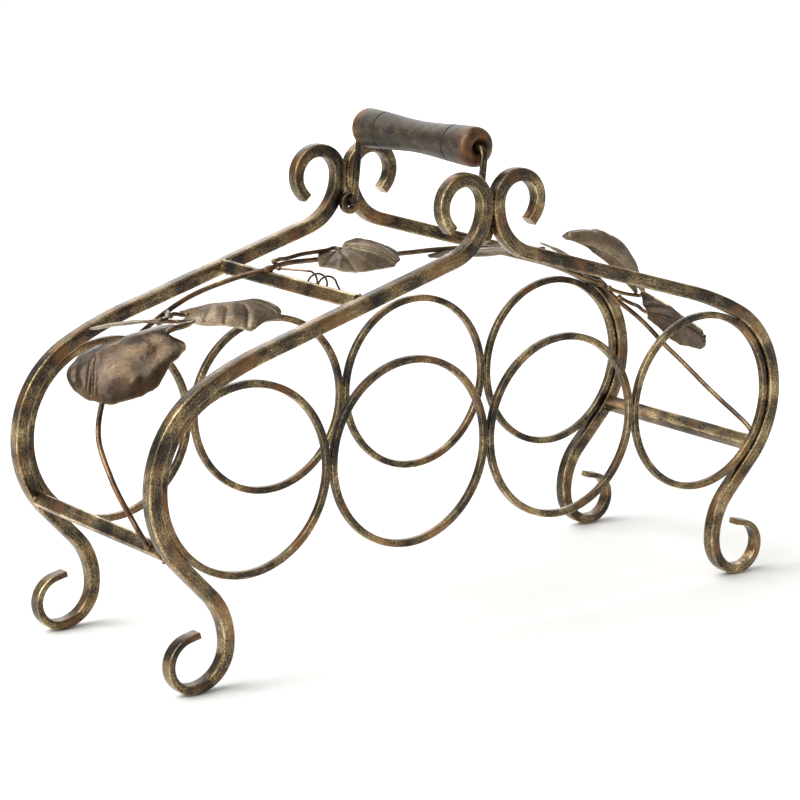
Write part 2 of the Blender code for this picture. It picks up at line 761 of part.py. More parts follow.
def stalk_points(leaf, stem):
    """From beside the stem, laid along it and bent away, to just short of the leaf's foot."""
    runs = [0.0]
    for before, after in zip(stem, stem[1:]):
        runs.append(runs[-1] + (after - before).length)
    place = runs[-1] * leaf["along"]
    root = point_on(stem, runs, place)
    ahead = point_on(stem, runs, min(runs[-1], place + STALK_LEAD))
    behind = point_on(stem, runs, max(0.0, place - STALK_LEAD))
    grain = (ahead - behind).normalized()
    first = Vector(leaf["turns"][0])
    leave = (first - grain * first.dot(grain)).normalized()
    side = root + leave * (STEM_WIRE / 2 + CLEARANCE + STALK_WIRE / 2)
    onward = grain * math.copysign(STALK_LEAD, grain.dot(first))
    foot = root + Vector(leaf["foot"]) * LEAF_LENGTH
    axis = leaf_frame(leaf, foot).to_3x3() @ Vector((1.0, 0.0, 0.0))
    slope = math.atan(4 * leaf["arch"] / leaf["length"])
    end = foot - axis * (CLEARANCE + LEAF_SHEET / 2 * math.sin(slope))
    points = [side, side + onward + leave * STALK_WIRE / 4]
    points += [root + Vector(turn) * LEAF_LENGTH for turn in leaf["turns"]]
    points += [end - axis * STALK_LEAD, end]
    return points, foot


for name, leaf in LEAF_SHARES.items():
    points, foot = stalk_points(leaf, stems[leaf["stem"]])
    path = smooth_path(points, STALK_STEP)
    path[-2] = path[-1] + (points[-2] - points[-1]).normalized() * (path[-2] - path[-1]).length
    wire(name.replace("leaf_", "stalk_"), path, STALK_WIRE, 1)
    make_leaf(name, leaf, foot)


# Tendril, a thin wire wound over a rod, beside the upper crossbar

def tendril_points():
    """From beside the top stem over into open turns, ending in a straight hanging tail."""
    station = leg_at(UPPER_BAR_RUN)
    reach = LEG_BAR / 2 + TENDRIL_GAP_TO_BAR + TENDRIL_RADIUS + TENDRIL_WIRE / 2
    beside = STEM_WIRE / 2 + CLEARANCE + TENDRIL_WIRE / 2
    root = stems["top"][0].lerp(stems["top"][1], 1 / 3) - Vector((0.0, beside, 0.0))
    axis_x = -(station.x + reach * math.cos(station.heading))
    axis_z = root.z - TENDRIL_RADIUS
    first = Vector((axis_x, root.y - TENDRIL_LEAD, root.z))
    points = [root, root.lerp(first, 0.55)]
    steps = round(TENDRIL_TURNS * TENDRIL_STEPS)
    for step in range(steps + 1):
        angle = math.pi / 2 + 2 * math.pi * step / TENDRIL_STEPS
        x = axis_x - TENDRIL_RADIUS * math.cos(angle)
        y = first.y - TENDRIL_PITCH * step / TENDRIL_STEPS
        z = axis_z + TENDRIL_RADIUS * math.sin(angle)
        points.append(Vector((x, y, z)))
    points.append(points[-1] + Vector((TENDRIL_TAIL / 4, -TENDRIL_TAIL / 2, -TENDRIL_TAIL)))
    return points


def least_gap(points, thickness, skip):
    """Smallest free distance between turns that lie at least a few points apart."""
    gaps = [(a - b).length - thickness
            for index, a in enumerate(points) for b in points[index + skip:]]
    return min(gaps)


tendril = tendril_points()
wire("tendril", tendril, TENDRIL_WIRE, 1)
turn_gap = least_gap(tendril, TENDRIL_WIRE, TENDRIL_STEPS // 2 + 1)
print("least gap between the tendril's turns, mm:", round(turn_gap * 1000, 2))
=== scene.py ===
"""Tabletop wine rack in forged and welded bar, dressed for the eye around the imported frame."""

import math

import bmesh
import bpy
from mathutils import Euler, Matrix, Vector, noise


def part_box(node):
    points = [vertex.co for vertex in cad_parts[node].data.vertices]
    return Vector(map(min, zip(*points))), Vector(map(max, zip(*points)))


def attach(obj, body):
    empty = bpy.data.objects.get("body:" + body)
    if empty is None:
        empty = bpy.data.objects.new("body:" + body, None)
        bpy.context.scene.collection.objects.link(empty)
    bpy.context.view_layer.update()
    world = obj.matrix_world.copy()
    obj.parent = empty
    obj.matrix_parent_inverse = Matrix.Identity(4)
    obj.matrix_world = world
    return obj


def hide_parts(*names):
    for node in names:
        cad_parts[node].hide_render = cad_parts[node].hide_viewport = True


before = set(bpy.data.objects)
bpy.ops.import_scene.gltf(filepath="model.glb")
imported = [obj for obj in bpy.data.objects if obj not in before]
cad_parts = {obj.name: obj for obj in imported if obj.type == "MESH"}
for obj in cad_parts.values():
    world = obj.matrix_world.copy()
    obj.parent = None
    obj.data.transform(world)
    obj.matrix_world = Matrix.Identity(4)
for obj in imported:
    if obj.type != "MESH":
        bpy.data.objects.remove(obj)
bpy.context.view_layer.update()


# Side frames
#
# Each side frame is two mirrored legs, bent cold from 8 mm square bar round a former and
# butted at the top; the scroll ends were forged thinner first. The mill edges are a little
# rounded, and every leg hugs the outermost bottle ring over a third of its rim.

def feed(node, inputs):
    """Give each input a value, a socket, or a node whose first output feeds it."""
    for name, value in inputs.items():
        if isinstance(value, bpy.types.Node):
            value = value.outputs[0]
        if isinstance(value, bpy.types.NodeSocket):
            node.id_data.links.new(value, node.inputs[name])
        else:
            node.inputs[name].default_value = value


def add(tree, kind, inputs=None, **settings):
    """Add one node with its settings and what feeds its inputs."""
    made = tree.nodes.new(kind)
    for name, value in settings.items():
        setattr(made, name, value)
    feed(made, inputs or {})
    return made


def colour(code):
    """A finish's sRGB hex code as the linear colour that a shader takes."""
    shares = [int(code[place:place + 2], 16) / 255 for place in (0, 2, 4)]
    linear = [share / 12.92 if share <= 0.04045 else ((share + 0.055) / 1.055) ** 2.4
              for share in shares]
    return (*linear, 1.0)


MM = 0.001
LEG_BAR = 8 * MM
LEG_ROUNDING = 1.5 * MM
BOX_TRIM = 0.002 * MM  # keeps bar and grip inside the box of the faceted solids
RING_BORE_RADIUS = 48 * MM
RING_BAR = 4 * MM
FRAME_Y = 67.1 * MM
WELD_GAP = 0.3 * MM
STATION_STEP = 1.6 * MM
RING_BOXES = [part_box(f"front_ring_{index}") for index in (1, 2, 3, 4)]
RING_X = [(low.x + high.x) / 2 for low, high in RING_BOXES]
RING_HEIGHT = (RING_BOXES[0][0].z + RING_BOXES[0][1].z) / 2

# The bends of a leg, from where it leaves the ring's low side: radius and turn in degrees
CRADLE = (RING_BORE_RADIUS + RING_BAR + WELD_GAP + LEG_BAR / 2, 105.2)
CRADLE_START = math.radians(-43.46)
SHOULDER = (187.6 * MM, 12.05)
NECK = (28.8 * MM, -77.84)
CURL = (14.2 * MM, -217.9)
CURL_TAIL = 3.5 * MM
SHIN = 25.6 * MM
ANKLE = (37.3 * MM, 49.74)
FOOT = (20.4 * MM, 86.57)
SCROLL = (13.8 * MM, 164.9)
SCROLL_TAIL = 6.4 * MM
CURL_TIP_SHARE = 6.2 / 8
SCROLL_TIP_SHARE = 3.6 / 8


def run_straight(line, length):
    """Lead a line of (x, z, heading) straight on."""
    x, z, heading = line[-1]
    steps = max(2, round(length / STATION_STEP))
    for step in range(1, steps + 1):
        run = length * step / steps
        line.append((x + run * math.cos(heading), z + run * math.sin(heading), heading))


def run_round(line, radius, turn_deg):
    """Lead it on round an arc; a positive turn is to the left."""
    x, z, heading = line[-1]
    turn = math.radians(turn_deg)
    side = math.copysign(radius, turn)
    centre_x, centre_z = x - side * math.sin(heading), z + side * math.cos(heading)
    steps = max(6, round(abs(turn) * radius / STATION_STEP))
    for step in range(1, steps + 1):
        on = heading + turn * step / steps
        line.append((centre_x + side * math.sin(on), centre_z - side * math.cos(on), on))


def smoothstep(share):
    share = min(max(share, 0.0), 1.0)
    return share * share * (3 - 2 * share)


def forged_thin(line, even, tip_share):
    """A line's places with the bar's width share, which falls to the tip's past an even part."""
    return [(x, z, 1 + (tip_share - 1) * smoothstep((place - even) / (len(line) - even)))
            for place, (x, z, heading) in enumerate(line)]


def leg_line():
    """The right leg's middle line from scroll tip to curl tip, with the bar's width share."""
    start_x = RING_X[3] + CRADLE[0] * math.cos(CRADLE_START)
    start_z = CRADLE[0] * math.sin(CRADLE_START)
    down = [(start_x, start_z, CRADLE_START - math.pi / 2)]
    run_straight(down, SHIN)
    thick = len(down)
    for bend in (ANKLE, FOOT, SCROLL):
        run_round(down, *bend)
    run_straight(down, SCROLL_TAIL)
    up = [(start_x, start_z, CRADLE_START + math.pi / 2)]
    run_round(up, *CRADLE)
    run_round(up, *SHOULDER)
    slope = up[-1][2]
    neck_x = (LEG_BAR + WELD_GAP) / 2 + NECK[0] * (1 - math.sin(slope))
    run_straight(up, (up[-1][0] - neck_x) / -math.cos(slope))
    run_round(up, *NECK)
    even = len(up)
    run_round(up, *CURL)
    run_straight(up, CURL_TAIL)
    foot = forged_thin(down, thick, SCROLL_TIP_SHARE)
    return foot[:0:-1] + forged_thin(up, even, CURL_TIP_SHARE)


def new_tree(name, output, inputs):
    """A geometry tree with named inputs, each with its kind, and what they bring."""
    tree = bpy.data.node_groups.new(name, "GeometryNodeTree")
    for label, kind in inputs.items():
        tree.interface.new_socket(name=label, in_out="INPUT", socket_type=f"NodeSocket{kind}")
    tree.interface.new_socket(name=output, in_out="OUTPUT", socket_type="NodeSocketGeometry")
    return tree, add(tree, "NodeGroupInput").outputs


def swept(tree, curve, profile):
    """Sweep a profile along a curve; every point keeps its run along the piece and its place
    in the section, which the finish reads."""
    measured = add(tree, "GeometryNodeStoreNamedAttribute",
                   {"Geometry": curve, "Name": "run",
                    "Value": add(tree, "GeometryNodeSplineParameter").outputs["Length"]})
    section = add(tree, "GeometryNodeStoreNamedAttribute",
                  {"Geometry": profile, "Name": "section",
                   "Value": add(tree, "GeometryNodeInputPosition")},
                  data_type="FLOAT_VECTOR")
    return add(tree, "GeometryNodeCurveToMesh",
               {"Curve": measured, "Profile Curve": section, "Fill Caps": True})


def pushed(tree, geometry, share, depth):
    """Move a surface out along its normals by a share of a depth."""
    far = add(tree, "ShaderNodeMath", {0: share, 1: depth}, operation="MULTIPLY")
    push = add(tree, "ShaderNodeVectorMath",
               {0: add(tree, "GeometryNodeInputNormal"), "Scale": far}, operation="SCALE")
    return add(tree, "GeometryNodeSetPosition", {"Geometry": geometry, "Offset": push})


def dented(tree, geometry, dents, depth):
    inward = add(tree, "ShaderNodeMath", {0: dents, 1: -1.0}, operation="MULTIPLY")
    return pushed(tree, geometry, inward, depth)


def all_but_caps(tree):
    """Pick the four-sided faces of a swept piece, which are all but its two end caps."""
    around = add(tree, "GeometryNodeInputMeshFaceNeighbors")
    return add(tree, "FunctionNodeCompare", {2: around, 3: 4}, data_type="INT", operation="EQUAL")


def finished(tree, geometry, smooth, finish):
    """Shade the picked faces smooth and put the finish on, as a tree's last steps."""
    shaded = add(tree, "GeometryNodeSetShadeSmooth", {"Geometry": geometry, "Shade Smooth": smooth})
    real = add(tree, "GeometryNodeRealizeInstances", {0: shaded})
    dressed = add(tree, "GeometryNodeSetMaterial", {"Geometry": real, "Material": finish})
    add(tree, "NodeGroupOutput", {0: dressed})
    return tree


def square_bar_tree():
    """Sweep a square bar with rounded edges along a bent line that lies in one plane, forge it
    thinner by its "slim" shares, hammer it and set it down on the floor."""
    tree, given = new_tree("Square bar along a bent line", "Bar mesh", {
        "Line": "Geometry", "Bar": "Float", "Edge rounding": "Float", "Hammering": "Float",
        "Hammer pitch": "Float", "Turn": "Float", "Seed": "Float", "Finish": "Material"})
    place = add(tree, "GeometryNodeInputPosition")
    marked = add(tree, "GeometryNodeStoreNamedAttribute",
                 {"Geometry": given["Line"], "Name": "middle", "Value": place},
                 data_type="FLOAT_VECTOR")
    curve = add(tree, "GeometryNodeMeshToCurve", {0: marked})
    tilted = add(tree, "GeometryNodeSetCurveTilt", {"Curve": curve, "Tilt": given["Turn"]})
    square = add(tree, "GeometryNodeCurvePrimitiveQuadrilateral",
                 {"Width": given["Bar"], "Height": given["Bar"]})
    filleted = add(tree, "GeometryNodeFilletCurve",
                   {"Curve": square, "Radius": given["Edge rounding"], "Count": 4}, mode="POLY")
    rounded = add(tree, "GeometryNodeSubdivideCurve", {"Curve": filleted, "Cuts": 1})
    # Gold on the edges, part rubbed gold and part a painted highlight: the edge value climbs from 0
    # on the flats to 1.4 on the corner
    reach = add(tree, "ShaderNodeVectorMath", {0: place}, operation="ABSOLUTE")
    wide, high = add(tree, "ShaderNodeSeparateXYZ", {0: reach}).outputs[:2]
    least = add(tree, "ShaderNodeMath", {0: wide, 1: high}, operation="MINIMUM")
    half = add(tree, "ShaderNodeMath", {0: given["Bar"], 1: 0.5}, operation="MULTIPLY")
    flat_end = add(tree, "ShaderNodeMath", {0: half, 1: given["Edge rounding"]},
                   operation="SUBTRACT")
    crest = add(tree, "ShaderNodeMapRange",
                {"Value": least, "From Min": flat_end, "From Max": half, "To Max": 1.4})
    edged = add(tree, "GeometryNodeStoreNamedAttribute",
                {"Geometry": rounded, "Name": "edge", "Value": crest})
    bar = swept(tree, tilted, edged)
    middle = add(tree, "GeometryNodeInputNamedAttribute", {"Name": "middle"},
                 data_type="FLOAT_VECTOR")
    slim = add(tree, "GeometryNodeInputNamedAttribute", {"Name": "slim"})
    away = add(tree, "ShaderNodeVectorMath", {0: place, 1: middle}, operation="SUBTRACT")
    squeeze = add(tree, "ShaderNodeCombineXYZ", {0: slim, 1: 1.0, 2: slim})
    slimmed = add(tree, "ShaderNodeVectorMath", {0: away, 1: squeeze}, operation="MULTIPLY")
    forged = add(tree, "ShaderNodeVectorMath", {0: slimmed, 1: middle}, operation="ADD")
    tapered = add(tree, "GeometryNodeSetPosition", {"Geometry": bar, "Position": forged})
    pitch = add(tree, "ShaderNodeMath", {0: 1.0, 1: given["Hammer pitch"]}, operation="DIVIDE")
    dents = add(tree, "ShaderNodeTexNoise", {"W": given["Seed"], "Scale": pitch, "Detail": 1.5},
                noise_dimensions="4D")
    hammered = dented(tree, tapered, dents, given["Hammering"])
    lifted = add(tree, "ShaderNodeVectorMath", {0: place, 1: (-1.0, -1.0, 0.0)},
                 operation="MAXIMUM")
    standing = add(tree, "GeometryNodeSetPosition", {"Geometry": hammered, "Position": lifted})
    return finished(tree, standing, all_but_caps(tree), given["Finish"])


def shown(name, data):
    """An object of the scene, at its origin."""
    obj = bpy.data.objects.new(name, data)
    bpy.context.scene.collection.objects.link(obj)
    return obj


def keep_values(mesh, label, values, kind="FLOAT"):
    """Give each point of a mesh its value of that name."""
    field = "vector" if kind == "FLOAT_VECTOR" else "value"
    mesh.attributes.new(label, kind, "POINT").data.foreach_set(field, values)


def line_object(name, points, closed=False, **shares):
    """A mesh of one open or closed line; each share becomes a value on its points."""
    mesh = bpy.data.meshes.new(name)
    edges = [(place, place + 1) for place in range(len(points) - 1)]
    if closed:
        edges.append((len(points) - 1, 0))
    mesh.from_pydata([tuple(point) for point in points], edges, [])
    for label, values in shares.items():
        keep_values(mesh, label, values)
    return shown(name, mesh)


def made_plain(obj):
    """Keep what the modifiers make as the object's own mesh."""
    depsgraph = bpy.context.evaluated_depsgraph_get()
    made = bpy.data.meshes.new_from_object(obj.evaluated_get(depsgraph))
    obj.modifiers.clear()
    made.name = obj.name
    obj.data = made


def grown(obj, tree, **values):
    """Run a tree on an object, with values for the inputs of those names."""
    modifier = obj.modifiers.new(tree.name, "NODES")
    modifier.node_group = tree
    for item in tree.interface.items_tree:
        label = item.name.replace(" ", "_").lower()
        if label in values:
            modifier[item.identifier] = values[label]
    made_plain(obj)


def placed(obj, body, slot, *nodes):
    """Let a finished piece ride on its body in place of the CAD nodes that it stands for."""
    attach(obj, body)
    if nodes:
        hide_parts(*nodes)


def new_material(name):
    """A material, its tree, its shader, and the place on the piece that its patterns read."""
    material = bpy.data.materials.new(name)
    material.use_nodes = True
    tree = material.node_tree
    place = add(tree, "ShaderNodeTexCoord").outputs["Object"]
    return material, tree, tree.nodes["Principled BSDF"], place


def set_stops(ramp, *stops):
    """Give a ramp its stops, first and last first, each a place and a hex code."""
    for element, (place, code) in zip(ramp.elements, (stops[0], stops[-1])):
        element.position = place
        element.color = colour(code)
    for place, code in stops[1:-1]:
        ramp.elements.new(place).color = colour(code)


CLOUD = 16 * MM
COPPER_PATCH = 15 * MM
STREAK = (9 * MM, 0.35 * MM, 0.35 * MM)
BLOTCH = 0.9 * MM


def antique_bronze(name, dark, brown, gold, pale, copper, cloudy=0.38, brushed=0.32,
                   blotched=0.30, worn=0.09, sheen=(0.38, 0.22)):
    """Dark bronze lacquer over steel with gold rubbed on by brush. The eye gets fine streaks
    along the piece, dark and coppery patches, gold on the edges, which is part rubbed gold and
    part a painted highlight, and the grey sheen of a thin clear coat. Cloudy, brushed, blotched
    and worn are how much cloud, streak, blotch and edge say in where the gold lies, so worn also
    sets the painted edge highlight; sheen is the roughness of its dark and of its golden parts."""
    material, tree, shader, place = new_material(name)
    cloud = add(tree, "ShaderNodeTexNoise", {"Vector": place, "Scale": 1 / CLOUD, "Detail": 3.0})
    # The real bristle marks and specks of gold are near 0.1 and 0.3 mm, less than a pixel of
    # the photo, so they are drawn as coarse as it takes to show them
    blotch = add(tree, "ShaderNodeTexNoise",
                 {"Vector": place, "Scale": 1 / BLOTCH, "Detail": 3.0, "Roughness": 0.62})
    run = add(tree, "ShaderNodeAttribute", attribute_name="run")
    section = add(tree, "ShaderNodeAttribute", attribute_name="section")
    wide, high = add(tree, "ShaderNodeSeparateXYZ", {0: section.outputs["Vector"]}).outputs[:2]
    on_piece = add(tree, "ShaderNodeCombineXYZ", {0: run.outputs["Fac"], 1: wide, 2: high})
    brush = add(tree, "ShaderNodeVectorMath", {0: on_piece, 1: [1 / size for size in STREAK]},
                operation="MULTIPLY")
    drift = add(tree, "ShaderNodeMath", {0: cloud, 1: 12.0}, operation="MULTIPLY")
    streak = add(tree, "ShaderNodeTexNoise",
                 {"Vector": brush, "W": drift, "Scale": 1.0, "Detail": 3.0, "Roughness": 0.65},
                 noise_dimensions="4D")
    edge = add(tree, "ShaderNodeAttribute", attribute_name="edge")
    golden = (1 - cloudy - brushed - blotched) / 2
    for pattern, share in ((cloud, cloudy), (streak, brushed), (blotch, blotched)):
        golden = add(tree, "ShaderNodeMath", {0: pattern, 1: share, 2: golden},
                     operation="MULTIPLY_ADD")
    # Gold on the edges, scaled by worn: part rubbed gold and part a painted highlight along them
    rubbed = add(tree, "ShaderNodeMath", {0: edge.outputs["Fac"], 1: worn, 2: golden},
                 operation="MULTIPLY_ADD")
    base = add(tree, "ShaderNodeValToRGB", {0: rubbed})
    set_stops(base.color_ramp, (0.42, dark), (0.495, brown), (0.575, gold), (0.66, pale))
    coppery = add(tree, "ShaderNodeTexNoise",
                  {"Vector": place, "Scale": 1 / COPPER_PATCH, "Detail": 4.0})
    patch = add(tree, "ShaderNodeMapRange",
                {"Value": coppery, "From Min": 0.50, "From Max": 0.66, "To Max": 0.55})
    tinted = add(tree, "ShaderNodeMix", {0: patch, 6: base, 7: colour(copper)}, data_type="RGBA")
    roughness = add(tree, "ShaderNodeMapRange",
                    {"Value": golden, "From Min": 0.4, "From Max": 0.6,
                     "To Min": sheen[0], "To Max": sheen[1]})
    bump = add(tree, "ShaderNodeBump", {"Height": blotch, "Strength": 0.25, "Distance": 0.2 * MM})
    feed(shader, {"Base Color": tinted.outputs[2], "Metallic": 0.75, "Roughness": roughness,
                  "Coat Weight": 0.15, "Coat Roughness": 0.22, "Normal": bump})
    return material


# Bars and handle: near black to yellow gold, the strongest contrast on the piece
BAR_FINISH = antique_bronze("rubbed_gold_on_forged_bar",
                            "120F0B", "42372B", "8D7850", "DCC69B", "845A34")
SQUARE_BAR = square_bar_tree()
BAR_VALUES = dict(bar=LEG_BAR - BOX_TRIM, edge_rounding=LEG_ROUNDING, hammering=0.2 * MM,
                  hammer_pitch=14 * MM, finish=BAR_FINISH)

right_line = leg_line()
for end, y in (("front", -FRAME_Y), ("rear", FRAME_Y)):
    for side_name, side in (("left", -1), ("right", 1)):
        name = f"{end}_{side_name}_leg"
        points = [(side * x, y, z + RING_HEIGHT) for x, z, slim in right_line]
        leg = line_object("forged_" + name, points, slim=[slim for x, z, slim in right_line])
        grown(leg, SQUARE_BAR, seed=3.0 + side + 5 * y, turn=0.0, **BAR_VALUES)
        placed(leg, "rack", "forged_bar", name)


# Bottle rings
#
# Eight rings of 4 mm square bar, rolled round a mandrel, cut and closed with a butt weld;
# neighbours are tacked together with a short weld where they touch.

def closed_ring(name, middle, radius, corners, **values):
    """Square bar round a circle that stands across the Y axis."""
    x, y, z = middle
    turns = [2 * math.pi * step / corners for step in range(corners)]
    points = [(x + radius * math.cos(turn), y, z + radius * math.sin(turn)) for turn in turns]
    ring = line_object(name, points, closed=True, slim=[1.0] * corners)
    grown(ring, SQUARE_BAR, turn=0.0, finish=BAR_FINISH, **values)
    return ring


RING_CORNERS = 128
for end, y in (("front", -FRAME_Y), ("rear", FRAME_Y)):
    for index, x in enumerate(RING_X):
        ring = closed_ring(f"rolled_{end}_ring_{index + 1}", (x, y, RING_HEIGHT),
                           RING_BORE_RADIUS + RING_BAR / 2, RING_CORNERS, bar=RING_BAR,
                           edge_rounding=0.8 * MM, hammering=0.1 * MM, hammer_pitch=10 * MM,
                           seed=11.0 + index + 40 * y)
        placed(ring, "rack", "forged_bar", f"{end}_ring_{index + 1}")


# Crossbars
#
# Three lengths of the legs' own 8 mm bar, sawn square and butt welded between the two side
# frames: one low on each side and one at the left shoulder.

CROSSBAR_HALF = FRAME_Y - LEG_BAR / 2 - WELD_GAP
CROSSBAR_STEPS = 40

# Where each lies in X and Z, and its lean in degrees, that of the leg it is welded to
CROSSBARS = (
    ("lower_left_crossbar", -202.354 * MM, 75.187 * MM, -54.681),
    ("lower_right_crossbar", 202.354 * MM, 75.187 * MM, 54.681),
    ("upper_left_crossbar", -82.7 * MM, 190.793 * MM, -163.79),
)
for name, x, z, lean in CROSSBARS:
    points = [(x, CROSSBAR_HALF * (2 * step / CROSSBAR_STEPS - 1), z)
              for step in range(CROSSBAR_STEPS + 1)]
    bar = line_object("sawn_" + name, points, slim=[1.0] * len(points))
    grown(bar, SQUARE_BAR, seed=30.0 + x * 10, turn=math.radians(lean), **BAR_VALUES)
    placed(bar, "rack", "forged_bar", name)


# Handle eyes
#
# Two small rings bent from 4 mm bar and welded behind the necks; the wire handle's pins
# turn in them.

EYE_HEIGHT = 219.709 * MM
EYE_Y = 60.8 * MM
EYE_RADIUS = 4.5 * MM
EYE_BAR = 4 * MM
EYE_CORNERS = 48
for end, y in (("front", -EYE_Y), ("rear", EYE_Y)):
    eye = closed_ring(f"bent_{end}_eye", (0, y, EYE_HEIGHT), EYE_RADIUS, EYE_CORNERS, bar=EYE_BAR,
                      edge_rounding=1.0 * MM, hammering=0.06 * MM, hammer_pitch=6 * MM,
                      seed=51.0 + 40 * y)
    placed(eye, "rack", "forged_bar", f"{end}_handle_eye")


# Wire handle
#
# One 4 mm round wire bent into a flat arch; its two ends are bent outward as pins that
# spring into the eyes, so the handle swings over from side to side.

def round_wire_tree():
    """Draw a round wire with closed ends and shallow dents along a smooth line."""
    dents_per_metre = 220.0
    tree, given = new_tree("Round wire along a line", "Wire mesh", {
        "Line": "Geometry", "Wire": "Float", "Sides": "Int", "Step": "Float", "Dents": "Float",
        "Finish": "Material"})
    curve = add(tree, "GeometryNodeMeshToCurve", {0: given["Line"]})
    soft = add(tree, "GeometryNodeCurveSplineType", {"Curve": curve}, spline_type="CATMULL_ROM")
    dense = add(tree, "GeometryNodeSetSplineResolution", {"Geometry": soft, "Resolution": 12})
    even = add(tree, "GeometryNodeResampleCurve", {"Curve": dense, "Length": given["Step"]},
               mode="LENGTH")
    radius = add(tree, "ShaderNodeMath", {0: given["Wire"], 1: 0.5}, operation="MULTIPLY")
    circle = add(tree, "GeometryNodeCurvePrimitiveCircle",
                 {"Resolution": given["Sides"], "Radius": radius})
    dents = add(tree, "ShaderNodeTexNoise", {"Scale": dents_per_metre, "Detail": 1.0})
    worn = dented(tree, swept(tree, even, circle), dents, given["Dents"])
    return finished(tree, worn, all_but_caps(tree), given["Finish"])


ROUND_WIRE = round_wire_tree()
BAIL_WIRE = 4 * MM
BAIL_Y = 56.5 * MM
BAIL_RISE = 44.3 * MM
BAIL_BEND = 5 * MM
BEND_STEPS = 8
PIN_BEND = 2.3 * MM
PIN_STRAIGHT = 3 * MM
PIN_END_Y = 64.8 * MM
BAIL_LEAN = Matrix.Translation((0, 0, EYE_HEIGHT)) @ Matrix.Rotation(math.radians(5.5), 4, "Y")


def square_bend(points, corner, before, after, radius):
    """Add the points of a round bend where a wire turns square."""
    corner = Vector(corner)
    away = (Vector(before) - corner).normalized()
    onward = (Vector(after) - corner).normalized()
    for step in range(BEND_STEPS + 1):
        angle = math.pi / 2 * step / BEND_STEPS
        reach = away * (1 - math.sin(angle)) + onward * (1 - math.cos(angle))
        points.append(corner + reach * radius)


# Half of the handle from its pin to the middle of the top, with points between the bends
half = [Vector((0, PIN_END_Y, 0)), Vector((0, PIN_END_Y - PIN_STRAIGHT, 0))]
square_bend(half, (0, BAIL_Y, 0), (0, PIN_END_Y, 0), (0, BAIL_Y, BAIL_RISE), PIN_BEND)
half += [Vector((0, BAIL_Y, height * MM)) for height in (10, 20, 30)]
square_bend(half, (0, BAIL_Y, BAIL_RISE), (0, BAIL_Y, 0), (0, 0, BAIL_RISE), BAIL_BEND)
half += [Vector((0, y * MM, BAIL_RISE)) for y in (40, 20)]
whole = half + [Vector((0, 0, BAIL_RISE))] + [Vector((0, -p.y, p.z)) for p in reversed(half)]
bail = line_object("bent_wire_handle", [BAIL_LEAN @ point for point in whole])
grown(bail, ROUND_WIRE, wire=BAIL_WIRE, sides=24, step=1.0 * MM, dents=0.08 * MM,
      finish=BAR_FINISH)
placed(bail, "bail", "forged_bar", "handle_bail")


# Grip
#
# A turned hardwood grip, bored to spin on the wire, with a slim waist, two fine grooves cut
# with the skew chisel and a sunk end; it is stained dark and rubbed with the same gold.

GRIP_HALF = 52.5 * MM
GRIP_END = 10.95 * MM - BOX_TRIM
GRIP_WAIST = 8.9 * MM
GRIP_ROUND = 4.5 * MM
GRIP_BORE = 2.3 * MM
GRIP_SIDES = 72
GROOVE_AT = GRIP_HALF - 21 * MM
GROOVE_DEPTH = 0.7 * MM
GROOVE_WIDTH = 1.3 * MM
GROOVE_SHAPE = ((0.62, 0.0), (0.5, 0.0), (0.3, 0.6), (0.12, 0.95))  # shares of width, of depth
SINK_RADIUS = 5.6 * MM
SINK_DEPTH = 3.5 * MM
SINK_LIP = (0.4 * MM, 0.25 * MM)


def waist(height):
    share = smoothstep(abs(height) / (GRIP_HALF - GRIP_ROUND))
    return GRIP_WAIST + (GRIP_END - GRIP_WAIST) * share


def grip_outline():
    """Radius and height from the bore at one end, over the outside, to the middle."""
    points = [(GRIP_BORE, GRIP_HALF - SINK_DEPTH),
              (SINK_RADIUS - SINK_LIP[0], GRIP_HALF - SINK_LIP[1]), (SINK_RADIUS, GRIP_HALF)]
    for step in range(BEND_STEPS + 1):
        angle = math.pi / 2 * step / BEND_STEPS
        points.append((GRIP_END - GRIP_ROUND + GRIP_ROUND * math.sin(angle),
                       GRIP_HALF - GRIP_ROUND * (1 - math.cos(angle))))
    heights = [GRIP_HALF - GRIP_ROUND - step * 1.5 * MM for step in range(1, 11)]
    points += [(waist(height), height) for height in heights]
    for share, cut in GROOVE_SHAPE + tuple((-share, cut) for share, cut in GROOVE_SHAPE[::-1]):
        height = GROOVE_AT + GROOVE_WIDTH * share
        points.append((waist(height) - GROOVE_DEPTH * cut, height))
    heights = [GROOVE_AT - GROOVE_WIDTH - step * 2.2 * MM for step in range(14)]
    points += [(waist(height), height) for height in heights]
    return points


def turned_grip():
    """Turn the outline round the straight top of the handle."""
    upper = grip_outline()
    lower = [(radius, -height) for radius, height in reversed(upper)]
    turns = [2 * math.pi * step / GRIP_SIDES for step in range(GRIP_SIDES)]
    bm = bmesh.new()
    rings = []
    for radius, height in upper + [(waist(0.0), 0.0)] + lower:
        rings.append([bm.verts.new((radius * math.cos(turn), height,
                                    BAIL_RISE + radius * math.sin(turn))) for turn in turns])
    for ring, after in zip(rings, rings[1:] + rings[:1]):
        for step in range(GRIP_SIDES):
            bm.faces.new((ring[step - 1], ring[step], after[step], after[step - 1]))
    bmesh.ops.recalc_face_normals(bm, faces=bm.faces)
    bm.transform(BAIL_LEAN)
    mesh = bpy.data.meshes.new("turned_grip")
    bm.to_mesh(mesh)
    bm.free()
    mesh.shade_smooth()
    return shown("turned_grip", mesh)


